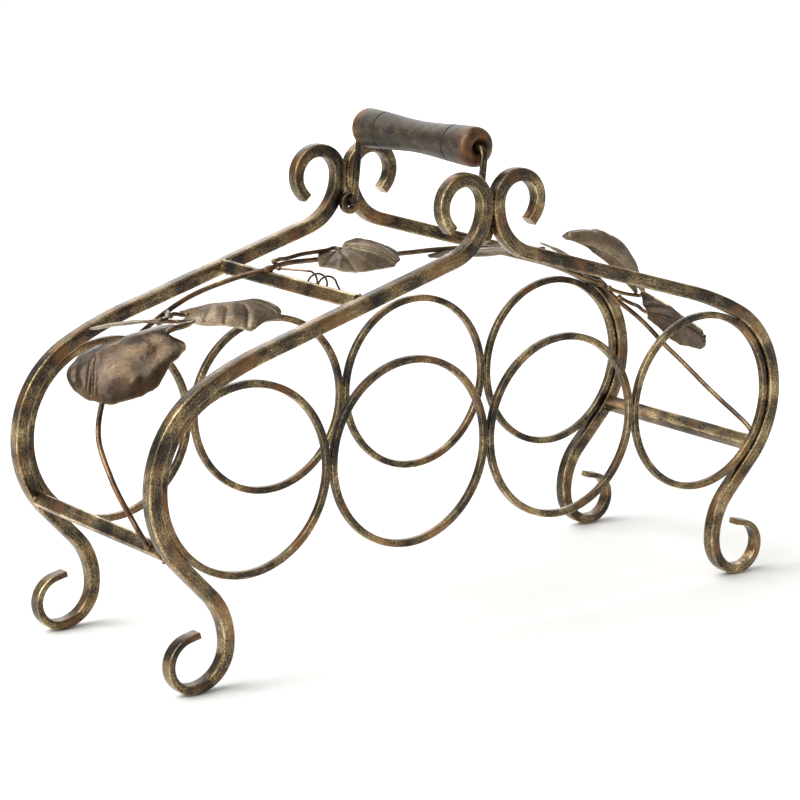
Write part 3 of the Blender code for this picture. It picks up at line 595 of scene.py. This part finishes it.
def stained_wood(name):
    """Close-grained hardwood under dark stain. The eye gets short grain lines along the grip,
    gold rubbed thinly over them, and copper in patches on the rounded ends."""
    material, tree, shader, place = new_material(name)
    # The real pores are near 0.1 mm wide, too fine to show, so the grain is drawn coarser
    grain_width, rub_size = 0.6 * MM, 7 * MM
    long = add(tree, "ShaderNodeMapping", {"Vector": place, "Scale": (1.0, 0.10, 1.0)})
    grain = add(tree, "ShaderNodeTexNoise",
                {"Vector": long, "Scale": 1 / grain_width, "Detail": 4.0, "Roughness": 0.65})
    rub = add(tree, "ShaderNodeTexNoise",
              {"Vector": place, "Scale": 1 / rub_size, "Detail": 3.0, "Roughness": 0.6})
    mixed = add(tree, "ShaderNodeMix", {0: 0.5, 2: rub, 3: grain})
    base = add(tree, "ShaderNodeValToRGB", {0: mixed})
    set_stops(base.color_ramp, (0.38, "17120C"), (0.52, "382D1D"), (0.66, "66532F"))
    along = add(tree, "ShaderNodeSeparateXYZ", {0: place})
    out = add(tree, "ShaderNodeMath", {0: along.outputs[1]}, operation="ABSOLUTE")
    ends = add(tree, "ShaderNodeMapRange",
               {"Value": out, "From Min": 40 * MM, "From Max": 53 * MM})
    patchy = add(tree, "ShaderNodeMapRange",
                 {"Value": mixed, "From Min": 0.42, "From Max": 0.56, "To Min": 0.1})
    share = add(tree, "ShaderNodeMath", {0: ends, 1: patchy}, operation="MULTIPLY")
    tint = add(tree, "ShaderNodeMix", {0: share, 6: base, 7: colour("7A4E28")}, data_type="RGBA")
    rough = add(tree, "ShaderNodeMapRange", {"Value": grain, "To Min": 0.34, "To Max": 0.55})
    bump = add(tree, "ShaderNodeBump", {"Height": grain, "Strength": 0.25, "Distance": 0.2 * MM})
    feed(shader, {"Base Color": tint.outputs[2], "Metallic": 0.4, "Roughness": rough,
                  "Coat Weight": 0.15, "Coat Roughness": 0.3, "Normal": bump})
    return material


grip = turned_grip()
grip.data.materials.append(stained_wood("stained_turned_hardwood"))
placed(grip, "grip", "grip_wood", "handle_grip")


# Vine stems
#
# Three lengths of 3 mm wire bent by hand over the shoulders of the rack and brazed end to
# end at two knots; their routes follow no rule, so they are given point by point, in mm.

# Vine wire: a warmer brown with a dull gold, so that the vine stands off the bars
WIRE_FINISH = antique_bronze("rubbed_gold_on_vine_wire",
                             "261E17", "584432", "886C48", "C4A67A", "8A5E3C")

STEM_ROUTES = {
    "left": (
        (-206.8, -52.7, 77.5), (-211.5, -52.7, 85.2), (-212.6, -45.9, 92.4), (-214.2, -40.5, 99.4),
        (-214.8, -34.4, 106.0), (-214.4, -28.1, 112.3), (-213.7, -21.7, 118.6),
        (-212.3, -15.6, 125.0), (-209.8, -11.0, 132.3), (-206.2, -7.5, 139.7),
        (-201.4, -3.3, 145.9), (-195.9, 1.4, 151.2), (-190.0, 6.1, 156.1), (-183.6, 10.7, 160.4),
        (-176.7, 15.2, 164.0), (-169.5, 19.5, 167.1), (-162.0, 23.4, 170.0), (-154.2, 27.0, 172.7),
        (-146.3, 30.5, 175.3), (-138.3, 33.7, 177.7), (-130.1, 36.2, 180.2), (-121.7, 37.5, 182.9),
        (-113.3, 36.2, 185.9), (-105.5, 33.0, 188.8), (-98.0, 28.9, 191.7), (-91.2, 23.6, 194.2),
        (-84.9, 18.9, 196.2)),
    "top": (
        (-83.5, 18.5, 196.5), (-75.8, 19.7, 197.8), (-67.1, 21.1, 198.1), (-58.3, 22.5, 197.7),
        (-49.6, 23.8, 197.3), (-40.8, 25.2, 196.8), (-32.1, 26.6, 196.2), (-23.3, 27.9, 195.6),
        (-14.6, 29.3, 195.0), (-5.8, 30.7, 194.3), (2.9, 32.0, 193.7), (11.6, 33.4, 193.0),
        (20.4, 34.8, 192.5), (29.1, 36.2, 192.1), (37.9, 37.5, 191.8), (46.7, 38.9, 191.3),
        (55.4, 40.3, 190.7), (64.1, 41.6, 190.1), (72.9, 43.0, 189.3), (81.6, 44.4, 188.2),
        (90.2, 45.7, 186.9), (98.8, 47.1, 185.3), (107.4, 48.4, 183.2), (115.8, 49.7, 180.8),
        (124.2, 51.0, 178.2), (132.4, 52.3, 175.2), (140.6, 53.6, 172.0), (148.8, 54.9, 168.8),
        (157.0, 56.2, 165.6), (165.1, 57.4, 162.4), (173.3, 58.7, 159.1), (181.5, 60.0, 156.0),
        (189.0, 61.2, 153.3)),
    "right": (
        (190.3, 61.2, 152.5), (196.4, 60.7, 147.2), (201.8, 57.2, 141.0), (205.0, 50.2, 136.2),
        (207.4, 42.9, 131.5), (209.5, 35.9, 126.2), (211.0, 28.8, 120.8), (212.1, 21.2, 116.0),
        (212.5, 13.2, 111.9), (212.4, 5.0, 107.9), (212.2, -3.1, 104.0), (211.8, -11.3, 100.1),
        (211.4, -19.5, 96.5), (210.8, -27.9, 93.1), (209.8, -36.4, 90.2), (208.8, -44.9, 87.2),
        (207.5, -53.3, 84.1), (205.5, -61.3, 80.4)),
}


def drawn_wire(name, route, thickness, *nodes):
    """A wire of the vine, from a route in mm."""
    wire = line_object(name, [Vector(point) * MM for point in route])
    grown(wire, ROUND_WIRE, wire=thickness, sides=16, step=0.8 * MM, dents=0.07 * MM,
          finish=WIRE_FINISH)
    placed(wire, "rack", "vine_wire", *nodes)


for place, route in STEM_ROUTES.items():
    drawn_wire(f"bent_{place}_stem", route, 3 * MM, f"vine_stem_{place}")


# Leaf stalks
#
# Short lengths of 2.4 mm wire, each brazed along the stem where it leaves it and spot welded
# to the foot of its leaf; the broad leaf's foot is rolled round its stalk as a thicker neck.

STALK_ROUTES = {
    "left_broad": (
        (-150.0, 25.6, 173.2), (-146.6, 25.1, 173.6), (-143.1, 23.4, 173.4), (-140.7, 20.5, 173.6),
        (-140.3, 16.7, 174.2), (-140.6, 12.9, 175.0), (-141.2, 9.1, 175.8), (-142.1, 5.4, 176.6),
        (-143.5, 1.8, 177.3), (-145.6, -1.4, 177.8), (-148.1, -4.4, 178.3), (-150.8, -7.1, 178.6),
        (-153.8, -9.7, 178.9), (-157.0, -11.8, 179.0), (-160.8, -12.6, 178.7),
        (-165.1, -13.0, 178.4), (-167.6, -11.1, 176.9)),
    "left_slim": (
        (-142.9, 29.1, 177.5), (-144.4, 25.8, 178.2), (-146.5, 22.3, 178.4), (-149.3, 19.1, 177.9),
        (-152.4, 14.5, 177.1), (-155.0, 15.7, 176.9)),
    "left_ribbed": (
        (-139.1, 31.4, 174.8), (-136.7, 32.3, 175.3), (-134.0, 32.2, 174.9), (-131.1, 32.1, 174.2),
        (-129.0, 30.6, 174.3)),
    "middle": (
        (-78.7, 21.1, 199.7), (-74.9, 21.8, 200.5), (-70.8, 21.9, 200.4), (-66.7, 22.2, 200.8),
        (-62.6, 22.5, 201.3), (-58.5, 22.8, 201.6), (-54.4, 23.0, 201.7), (-50.3, 23.1, 201.8),
        (-46.1, 23.3, 201.9), (-42.0, 23.3, 202.0), (-36.7, 24.2, 202.5), (-35.0, 21.4, 202.0)),
    "saddle": (
        (119.3, 47.5, 181.2), (122.2, 45.7, 181.9), (121.9, 41.8, 183.3), (121.0, 37.8, 184.3),
        (119.9, 33.8, 185.3), (118.3, 30.0, 186.2), (115.5, 27.1, 186.9), (111.7, 25.3, 187.3),
        (107.7, 23.3, 187.7), (104.0, 23.9, 187.8)),
    "slope": (
        (171.9, 56.9, 162.5), (169.8, 55.9, 164.3), (168.2, 55.0, 166.5), (166.9, 54.1, 169.1),
        (164.4, 53.6, 170.2)),
    "right_upper": (
        (194.8, 58.0, 149.9), (197.6, 55.9, 148.2), (200.3, 53.1, 147.1), (203.4, 50.6, 146.3),
        (206.7, 48.4, 145.7), (209.9, 45.9, 145.7), (209.9, 43.6, 149.5), (206.8, 43.6, 151.7)),
    "right_lower": (
        (200.9, 55.3, 143.8), (203.4, 52.5, 141.9), (205.7, 49.2, 140.3), (207.2, 45.3, 139.3),
        (208.4, 41.7, 137.0), (208.5, 37.6, 136.5)),
}
for place, route in STALK_ROUTES.items():
    drawn_wire(f"bent_{place}_stalk", route, 2.4 * MM, f"stalk_{place}")
drawn_wire("rolled_left_broad_neck", STALK_ROUTES["left_broad"][-5:], 3.3 * MM)


# Tendril
#
# A 1.2 mm wire wound in open turns over a rod and pulled out, brazed beside the stem near
# the upper crossbar, with a straight tail hanging from its last turn.

TENDRIL_WIRE = 1.2 * MM
TENDRIL_RADIUS = 4.6 * MM
TENDRIL_PITCH = 9.4 * MM
TENDRIL_TURNS = 2.25
TURN_STEPS = 12
TENDRIL_LEAD = ((-81.0, 16.5, 196.9), (-75.8, 7.5, 196.9))
TENDRIL_START = (-71.6, 0.1, 196.9)
TENDRIL_TAIL = (-65.2, -24.5, 185.3)
route = [Vector(point) * MM for point in TENDRIL_LEAD]
for step in range(round(TENDRIL_TURNS * TURN_STEPS) + 1):
    angle = math.pi / 2 + 2 * math.pi * step / TURN_STEPS
    route.append(Vector(TENDRIL_START) * MM
                 + Vector((-TENDRIL_RADIUS * math.cos(angle), -TENDRIL_PITCH * step / TURN_STEPS,
                           TENDRIL_RADIUS * (math.sin(angle) - 1))))
route.append(Vector(TENDRIL_TAIL) * MM)
tendril = line_object("wound_tendril", route)
grown(tendril, ROUND_WIRE, wire=TENDRIL_WIRE, sides=12, step=0.6 * MM, dents=0.02 * MM,
      finish=WIRE_FINISH)
placed(tendril, "rack", "vine_wire", "tendril")


# Welds and brazed joints
#
# The bars are tacked together with short electric weld beads and the vine is brazed at its
# knots; each bead is a small lump, left as it set and painted over with everything else.

def bead_tree():
    """Set a lump at every point, stretched by the point's size, and knead them a little."""
    tree, given = new_tree("Weld beads on points", "Beads", {
        "Points": "Geometry", "Kneading": "Float", "Seed": "Float", "Finish": "Material"})
    lump_size = 1.8 * MM
    lump = add(tree, "GeometryNodeMeshIcoSphere", {"Radius": 1.0, "Subdivisions": 4})
    size = add(tree, "GeometryNodeInputNamedAttribute", {"Name": "size"}, data_type="FLOAT_VECTOR")
    lumps = add(tree, "GeometryNodeInstanceOnPoints",
                {"Points": given["Points"], "Instance": lump, "Scale": size})
    real = add(tree, "GeometryNodeRealizeInstances", {0: lumps})
    rough = add(tree, "ShaderNodeTexNoise",
                {"W": given["Seed"], "Scale": 1 / lump_size, "Detail": 2.0},
                noise_dimensions="4D")
    centred = add(tree, "ShaderNodeMath", {0: rough, 1: 0.5}, operation="SUBTRACT")
    beads = pushed(tree, real, centred, given["Kneading"])
    place = add(tree, "GeometryNodeInputPosition")
    for label, value, kind in (("edge", 0.5, "FLOAT"), ("section", place, "FLOAT_VECTOR")):
        beads = add(tree, "GeometryNodeStoreNamedAttribute",
                    {"Geometry": beads, "Name": label, "Value": value}, data_type=kind)
    return finished(tree, beads, True, given["Finish"])


BEADS = bead_tree()


def weld_beads(name, spots, slot, finish):
    """Beads in mm, each the middle and the half sizes of a lump."""
    beads = line_object(name, [Vector(middle) * MM for middle, size in spots])
    sizes = [share * MM for middle, size in spots for share in size]
    keep_values(beads.data, "size", sizes, "FLOAT_VECTOR")
    grown(beads, BEADS, kneading=0.7 * MM, seed=7.0, finish=finish)
    placed(beads, "rack", slot)


ring_z = RING_HEIGHT / MM
neck_z = min((x, z) for x, z, slim in right_line if z > 60 * MM)[1] / MM  # where the necks touch
CRADLE_RIM = (RING_BORE_RADIUS + RING_BAR + WELD_GAP) / MM

# Round a crossbar's end: how far along and across the leg's face, and the bead's half size
CROSSBAR_BEADS = ((-3.8, 2.4, 0.9), (-3.9, -1.8, 1.1), (0.6, 3.9, 1.0), (3.9, 0.8, 1.0),
                  (-1.4, -3.9, 0.9), (2.8, -3.8, 0.8), (-2.6, 3.9, 0.8))
CROSSBAR_BEAD_Y = 62.9
EYE_BEADS = (((0.4, 62.7, 215.6), (2.4, 0.9, 1.5)), ((-2.6, 62.8, 217.4), (1.4, 0.8, 1.6)))

weld_spots = []
for out in (-1, 1):
    y = out * FRAME_Y / MM
    for ring, after in zip(RING_X, RING_X[1:]):
        for lift, reach in ((-3.2, 1.0), (0.2, 1.3), (3.4, 1.0)):
            weld_spots.append((((ring + after) / 2 / MM, y, ring_z + lift), (reach, 1.75, 2.1)))
    for side in (-1, 1):
        for turn in (math.radians(-41), math.radians(57)):
            x = side * (RING_X[3] / MM + CRADLE_RIM * math.cos(turn))
            weld_spots.append(((x, y, ring_z + CRADLE_RIM * math.sin(turn)), (1.5, 1.7, 1.9)))
    for lift, width in ((-4.5, 2.6), (-1.5, 3.2), (1.8, 3.2), (5.0, 2.7)):
        weld_spots.append(((0.0, y, ring_z + neck_z + lift), (1.3, width, 2.2)))
    weld_spots += [((x, out * in_y, z), size) for (x, in_y, z), size in EYE_BEADS]
    for name, x, z, lean in CROSSBARS:
        lie = Matrix.Rotation(math.radians(-lean), 3, "Y")
        for along, across, reach in CROSSBAR_BEADS:
            spot = lie @ Vector((along, 0, across))
            weld_spots.append(((x / MM + spot.x, out * CROSSBAR_BEAD_Y, z / MM + spot.z),
                               (reach, 0.9, reach)))
weld_beads("weld_beads", weld_spots, "forged_bar", BAR_FINISH)

# The vine's knots: both ends of every stem and stalk, and where the tendril is brazed on
knot_spots = [(route[end], (2.1, 2.1, 2.1)) for route in STEM_ROUTES.values() for end in (0, -1)]
for route in STALK_ROUTES.values():
    knot_spots += [(route[0], (1.75, 1.75, 1.75)), (route[-1], (1.5, 1.5, 1.4))]
knot_spots.append(((-80.2, 15.0, 196.9), (1.3, 1.6, 1.2)))
weld_beads("brazed_knots", knot_spots, "vine_wire", WIRE_FINISH)


# Leaves
#
# Eight leaves cut with shears from 0.8 mm sheet, the veins struck in with a blunt chisel
# and the blade hammered hollow over a stake, which leaves the rim ragged and a little turned.

LEAF_LENGTH = 60  # in mm, as a leaf's places are until it is set on its stalk
LEAF_SHEET = 0.8 * MM
LEAF_ROWS, LEAF_COLUMNS = 110, 64
RIM_EASE = 0.35  # rounds the rim off between its given widths
RAGGED_RIM = 0.06  # share of the half width
TIP_NICKS = 1.6
STAKE_DENTS = ((0.5, 9), (0.1, 2))  # height and pitch
# The gold along each leaf's rim is part rubbed gold and part a painted highlight along the rim
RUBBED_AND_HIGHLIT_RIM, RUBBED_TIP = 0.05, 0.03  # shares of the blade where gold catches


def narrow_leaf(foot, axis, face, length, half_widths, vein):
    """A slim leaf is cut alike on both sides and left nearly flat, with one struck vein."""
    return dict(foot=foot, axis=axis, face=face, length=length, arch=0.02, curl=(0.25, 0.25),
                lobes=(0.0, 0.0), left=half_widths, right=half_widths,
                marks=((-0.5, 0.9, ((0.0, 0.0), (0.5, vein), (1.0, 0.0))),))


# Per leaf: foot in mm and lie; length and arch in shares of the leaf length, how far the left
# and right halves curl down, how far the lobes reach back; half widths at even steps from
# foot to tip; and the marks struck in it, each a height and a width in mm and its course as
# shares along the leaf and across one half
LEAVES = {
    "left_broad": dict(
        foot=(-167.9, -10.9, 176.8), axis=(-0.724, 0.546, -0.421), face=(-0.572, -0.135, 0.809),
        length=0.957, arch=0.085, curl=(0.85, 0.80), lobes=(0.15, 0.09),
        left=(0.030, 0.265, 0.355, 0.545, 0.590, 0.515, 0.373, 0.195, 0.040),
        right=(0.030, 0.130, 0.160, 0.165, 0.145, 0.325, 0.379, 0.257, 0.054),
        marks=((0.65, 1.1, ((0.60, 0.0), (0.62, 0.15), (0.65, 0.45), (0.70, 0.85))),
               (-0.6, 0.8, ((0.625, 0.1), (0.67, 0.45), (0.72, 0.82))),
               (0.6, 0.9, ((0.615, 0.0), (0.645, 0.1), (0.695, 0.45), (0.745, 0.8))),
               (-0.5, 1.6, ((0.76, -0.2), (0.80, 0.2), (0.82, 0.6))),
               (0.9, 5.5, ((0.54, 0.25), (0.52, 0.4))), (0.7, 2.4, ((0.44, 0.74), (0.45, 0.78))),
               (-1.0, 6.0, ((0.24, 0.55), (0.38, 0.5))), (0.4, 1.4, ((0.85, -0.2), (0.88, 0.4))))),
    "left_slim": narrow_leaf(
        (-155.3, 15.9, 176.9), (-0.90, 0.42, -0.087), (0.03, 0.25, 0.95), 0.62,
        (0.03, 0.06, 0.10, 0.14, 0.16, 0.15, 0.11, 0.06, 0.02), 0.05),
    "left_ribbed": dict(
        foot=(-128.7, 30.4, 174.3), axis=(0.811, -0.584, 0.021), face=(-0.259, -0.327, 0.909),
        length=0.831, arch=0.053, curl=(0.49, 0.44), lobes=(0.102, 0.06),
        left=(0.030, 0.070, 0.106, 0.166, 0.170, 0.275, 0.225, 0.143, 0.032),
        right=(0.030, 0.062, 0.144, 0.191, 0.206, 0.259, 0.120, 0.074, 0.053),
        marks=((-0.35, 1.3, ((0.37, 0.9), (0.335, 0.2), (0.31, -0.7))),
               (-0.6, 1.2, ((0.42, 0.9), (0.455, 0.1), (0.45, -0.8))),
               (-0.8, 1.2, ((0.53, 0.75), (0.575, 0.3), (0.60, -0.1), (0.60, -0.8))),
               (-0.6, 1.1, ((0.56, 0.75), (0.66, 0.55), (0.74, 0.35), (0.84, 0.0))),
               (0.3, 2.0, ((0.50, 0.6), (0.51, -0.5))), (0.3, 2.0, ((0.39, 0.6), (0.385, -0.6))),
               (0.3, 2.2, ((0.64, -0.1), (0.66, -0.7))), (0.3, 1.6, ((0.62, 0.85), (0.78, 0.7))))),
    "middle": dict(
        foot=(-34.8, 21.0, 201.9), axis=(0.511, -0.845, -0.157), face=(-0.200, -0.295, 0.934),
        length=0.561, arch=0.056, curl=(0.21, 0.05), lobes=(0.039, 0.165),
        left=(0.030, 0.179, 0.241, 0.232, 0.209, 0.200, 0.187, 0.113, 0.080),
        right=(0.030, 0.203, 0.377, 0.395, 0.408, 0.338, 0.201, 0.092, 0.035),
        marks=((0.35, 1.0, ((0.12, 0.6), (0.35, 0.62), (0.6, 0.6), (0.88, 0.45))),
               (0.35, 1.0, ((0.15, 0.2), (0.35, 0.25), (0.6, 0.2), (0.88, 0.05))),
               (0.35, 1.0, ((0.15, -0.1), (0.35, -0.15), (0.55, -0.35), (0.7, -0.7))),
               (0.35, 1.0, ((0.12, -0.3), (0.3, -0.45), (0.42, -0.9))),
               (0.35, 1.0, ((0.06, -0.5), (0.2, -0.9))),
               (-0.4, 0.9, ((0.2, 0.42), (0.45, 0.42), (0.88, 0.25))),
               (-0.5, 0.9, ((0.3, 0.02), (0.55, -0.05), (0.88, -0.3))),
               (-0.4, 0.9, ((0.2, -0.28), (0.38, -0.5), (0.55, -0.9))),
               (-0.35, 0.9, ((0.1, -0.42), (0.28, -0.9))),
               (-0.35, 0.9, ((0.3, 0.82), (0.8, 0.8))))),
    "saddle": narrow_leaf(
        (103.6, 23.9, 187.8), (-0.985, 0.16, 0.02), (0.02, -0.12, 0.99), 1.12,
        (0.03, 0.05, 0.08, 0.11, 0.13, 0.12, 0.09, 0.05, 0.02), -0.05),
    "slope": narrow_leaf(
        (164.1, 53.5, 170.4), (-0.88, -0.20, 0.40), (0.42, -0.10, 0.90), 0.62,
        (0.03, 0.05, 0.08, 0.10, 0.11, 0.10, 0.08, 0.05, 0.02), 0.05),
    "right_upper": dict(
        foot=(206.3, 43.7, 152.0), axis=(-0.825, 0.023, 0.565), face=(0.559, -0.124, 0.820),
        length=1.13, arch=0.25, curl=(1.9, 1.5), lobes=(0.118, 0.13),
        left=(0.030, 0.130, 0.200, 0.255, 0.275, 0.255, 0.200, 0.120, 0.030),
        right=(0.030, 0.160, 0.240, 0.315, 0.370, 0.330, 0.260, 0.150, 0.040),
        marks=((-0.9, 1.3, ((0.54, 0.95), (0.56, 0.4), (0.60, -0.2))),
               (-0.7, 1.2, ((0.64, 0.95), (0.67, 0.4), (0.70, -0.2))),
               (0.5, 1.8, ((0.59, 0.9), (0.61, 0.4), (0.65, -0.1))),
               (-0.4, 1.2, ((0.34, 0.9), (0.36, 0.4), (0.40, 0.0))),
               (-0.4, 1.0, ((0.0, 0.0), (1.0, 0.0))))),
    "right_lower": dict(
        foot=(208.5, 37.2, 136.4), axis=(0.031, -0.990, -0.139), face=(0.836, -0.051, 0.547),
        length=0.836, arch=0.043, curl=(0.64, 0.28), lobes=(0.031, 0.02),
        left=(0.030, 0.083, 0.138, 0.230, 0.276, 0.230, 0.207, 0.134, 0.058),
        right=(0.030, 0.175, 0.375, 0.306, 0.261, 0.133, 0.107, 0.089, 0.080),
        marks=((0.9, 0.9, ((0.0, 0.0), (0.4, 0.04), (1.0, 0.0))),
               (-0.7, 0.9, ((0.08, 0.2), (0.95, 0.3))), (0.7, 0.9, ((0.1, 0.4), (0.9, 0.55))),
               (-0.9, 0.8, ((0.1, -0.2), (0.5, -0.35), (0.95, -0.4))),
               (0.8, 0.8, ((0.1, -0.45), (0.5, -0.65), (0.9, -0.8))),
               (-0.6, 0.8, ((0.15, -0.75), (0.45, -0.9))))),
}

# Two leaves, the broad one and the lower right one, take the dark lacquer with a soft shine;
# the others take a paler, duller copy of it, which is partly their paler tone and partly
# painted light: it also lightens the upper right leaf, which the lamps leave darker
LEAF_FINISH = antique_bronze("hammered_bronzed_sheet",
                             "261E16", "413326", "65523A", "9C875F", "5E4529", cloudy=0.3,
                             brushed=0.2, blotched=0.16, worn=0.16, sheen=(0.32, 0.24))
PALE_LEAF_WITH_PAINTED_LIGHT = antique_bronze("pale_bronzed_sheet",
                                  "4A3F34", "776855", "998A70", "B8AA90", "8A6C4C", cloudy=0.3,
                                  brushed=0.2, blotched=0.25, worn=0.10, sheen=(0.50, 0.42))


def leaf_place(leaf):
    """Local X from the leaf's foot to its tip, Y to its left, Z out of its upper face."""
    along = Vector(leaf["axis"]).normalized()
    face = Vector(leaf["face"])
    face = (face - along * face.dot(along)).normalized()
    turn = Matrix((along, face.cross(along), face)).transposed()
    return Matrix.Translation(Vector(leaf["foot"]) * MM) @ turn.to_4x4()


def half_width(shares, run):
    place = run * (len(shares) - 1)
    below = min(int(place), len(shares) - 2)
    part = place - below
    part += (smoothstep(part) - part) * RIM_EASE
    return shares[below] + (shares[below + 1] - shares[below]) * part


def across_leaf(leaf, run, v):
    """Which half v is on, how far along the blade it is, and how wide that half is there."""
    side = 0 if v > 0 else 1
    return side, (1 - math.cos(math.pi * run)) / 2, half_width(leaf[("left", "right")[side]], run)


def on_sheet(leaf, run, v):
    """Where a place on the leaf lay on the flat sheet."""
    side, u, half = across_leaf(leaf, run, v)
    lobe = leaf["lobes"][side] * smoothstep(run / 0.1)
    return Vector((leaf["length"] * u - lobe * v * v * (1 - u) ** 2, half * v)) * LEAF_LENGTH


def struck(leaf, spot):
    """Height that chisel and stake have given the sheet at a spot on it."""
    raised = 0.0
    for height, width, course in leaf["marks"]:
        corners = [on_sheet(leaf, run, v) for run, v in course]
        near = math.inf
        for start, end in zip(corners, corners[1:]):
            span = end - start
            share = min(max((spot - start).dot(span) / span.length_squared, 0.0), 1.0)
            near = min(near, (spot - start - span * share).length_squared)
        raised += height * math.exp(-near / width ** 2)
    return raised


def leaf_grid_point(leaf, run, v, seed):
    """A point of the hammered blade; v runs from -1 at the right rim to 1 at the left one."""
    side, u, half = across_leaf(leaf, run, v)
    spot = on_sheet(leaf, run, v)
    ragged = noise.noise(Vector((run * 9, 2.5 * side, seed)))
    ragged += 0.4 * noise.noise(Vector((run * 27, 7.5 * side, seed)))
    half *= 1 + RAGGED_RIM * ragged * v * v * math.sin(math.pi * min(1.0, run * 1.2))
    curl = leaf["curl"][side]
    y = half * math.sin(curl * v) / curl * LEAF_LENGTH
    z = (leaf["arch"] * 4 * u * (1 - u) - half * (1 - math.cos(curl * v)) / curl) * LEAF_LENGTH
    dents = sum(height * noise.noise(Vector((spot.x / pitch, spot.y / pitch, seed)))
                for height, pitch in STAKE_DENTS)
    nick = TIP_NICKS * max(0.0, noise.noise(Vector((v * 5.5, 3, seed))))
    nick *= smoothstep((run - 0.85) / 0.15)
    return Vector((spot.x - nick, y, z + dents + struck(leaf, spot))) * MM


def hammered_leaf(name, leaf, seed):
    """The blade as a grid with the values that its finish reads, given its sheet thickness."""
    points, rims, runs, sections, faces = [], [], [], [], []
    for row in range(LEAF_ROWS + 1):
        for column in range(LEAF_COLUMNS + 1):
            run, v = row / LEAF_ROWS, 2 * column / LEAF_COLUMNS - 1
            point = leaf_grid_point(leaf, run, v, seed)
            points.append(point)
            # Gold on the rim, part rubbed gold and part a painted highlight, and gold at the tip
            rims.append(smoothstep((abs(v) - (1 - RUBBED_AND_HIGHLIT_RIM)) / RUBBED_AND_HIGHLIT_RIM)
                        + 0.4 * smoothstep((run - (1 - RUBBED_TIP)) / RUBBED_TIP))
            runs.append(point.x + 0.5 * seed)
            sections += (point.y * 0.6, point.z * 0.6, 0.0)
    for row in range(LEAF_ROWS):
        for column in range(LEAF_COLUMNS):
            first = row * (LEAF_COLUMNS + 1) + column
            faces.append((first, first + LEAF_COLUMNS + 1, first + LEAF_COLUMNS + 2, first + 1))
    mesh = bpy.data.meshes.new(name)
    mesh.from_pydata([tuple(point) for point in points], [], faces)
    keep_values(mesh, "edge", rims)
    keep_values(mesh, "run", runs)
    keep_values(mesh, "section", sections, "FLOAT_VECTOR")
    mesh.transform(leaf_place(leaf))
    mesh.shade_smooth()
    blade = shown(name, mesh)
    sheet = blade.modifiers.new("Sheet", "SOLIDIFY")
    sheet.thickness = LEAF_SHEET
    sheet.offset = 0.0
    return blade


for index, (place, leaf) in enumerate(LEAVES.items()):
    blade = hammered_leaf(f"hammered_{place}_leaf", leaf, 3.1 + index)
    # The broad and lower right leaves take the dark bronze; the rest take the paler copy, which
    # also paints light onto the upper right leaf
    dark = place in ("left_broad", "right_lower")
    blade.data.materials.append(LEAF_FINISH if dark else PALE_LEAF_WITH_PAINTED_LIGHT)
    made_plain(blade)
    blade.data.set_sharp_from_angle(angle=math.radians(50))
    placed(blade, "rack", "leaf_sheet", f"leaf_{place}")


# Stage: a pale floor, soft lights and the photograph's viewpoint

FLOOR_REACH, FLOOR_Z = 6, -0.4 * MM
corners = ((-1, -1), (1, -1), (1, 1), (-1, 1))
floor_mesh = bpy.data.meshes.new("floor")
floor_mesh.from_pydata([(x * FLOOR_REACH, y * FLOOR_REACH, FLOOR_Z) for x, y in corners],
                       [], [(0, 1, 2, 3)])
floor = shown("floor", floor_mesh)
paper = bpy.data.materials.new("pale_paper")
paper.use_nodes = True
feed(paper.node_tree.nodes["Principled BSDF"], {"Base Color": colour("F8F8F6"), "Roughness": 0.9})
floor.data.materials.append(paper)

world = bpy.data.worlds.new("studio")
world.use_nodes = True
feed(world.node_tree.nodes["Background"], {"Color": (1.0, 1.0, 1.0, 1.0), "Strength": 0.36})
bpy.context.scene.world = world

RACK_MIDDLE = Vector((0, 0, 0.12))


def aimed(light, place):
    """Set a light up at a place, turned to the rack."""
    obj = shown(light.name, light)
    obj.location = place
    obj.rotation_euler = (RACK_MIDDLE - Vector(place)).to_track_quat("-Z", "Y").to_euler()


def softbox(name, place, width, height, power):
    light = bpy.data.lights.new(name, "AREA")
    light.shape = "RECTANGLE"
    light.size = width
    light.size_y = height
    light.energy = power
    aimed(light, place)


ceiling = bpy.data.lights.new("white_ceiling", "SUN")
ceiling.energy = 3.0
ceiling.angle = math.radians(60)
aimed(ceiling, (-0.9, 0.35, 1.4))
softbox("left_softbox", (-1.7, 0.3, 0.8), 0.8, 1.2, 12)
softbox("back_softbox", (1.4, 1.9, 0.95), 2.4, 0.9, 14)
softbox("slope_softbox", (0.25, 1.9, 1.6), 1.6, 0.8, 8)

# The camera was fitted to the rings and legs in the photo
PHOTO_PIXELS, FOCAL_PIXELS, SENSOR_WIDTH = 800, 2807, 36
CAMERA_PLACE = (-0.9245, -1.2216, 0.4711)
YAW, PITCH, ROLL = map(math.radians, (36.86, 13.05, 0.46))
camera_data = bpy.data.cameras.new("photo_view")
camera_data.sensor_width = SENSOR_WIDTH
camera_data.lens = SENSOR_WIDTH * FOCAL_PIXELS / PHOTO_PIXELS
camera_data.clip_start = 0.05
camera = shown("photo_view", camera_data)
camera.matrix_world = (Matrix.Translation(CAMERA_PLACE)
                       @ Euler((math.pi / 2 - PITCH, 0, -YAW)).to_matrix().to_4x4()
                       @ Matrix.Rotation(ROLL, 4, "Z"))
bpy.context.scene.camera = camera
bpy.context.scene.view_settings.view_transform = "Standard"
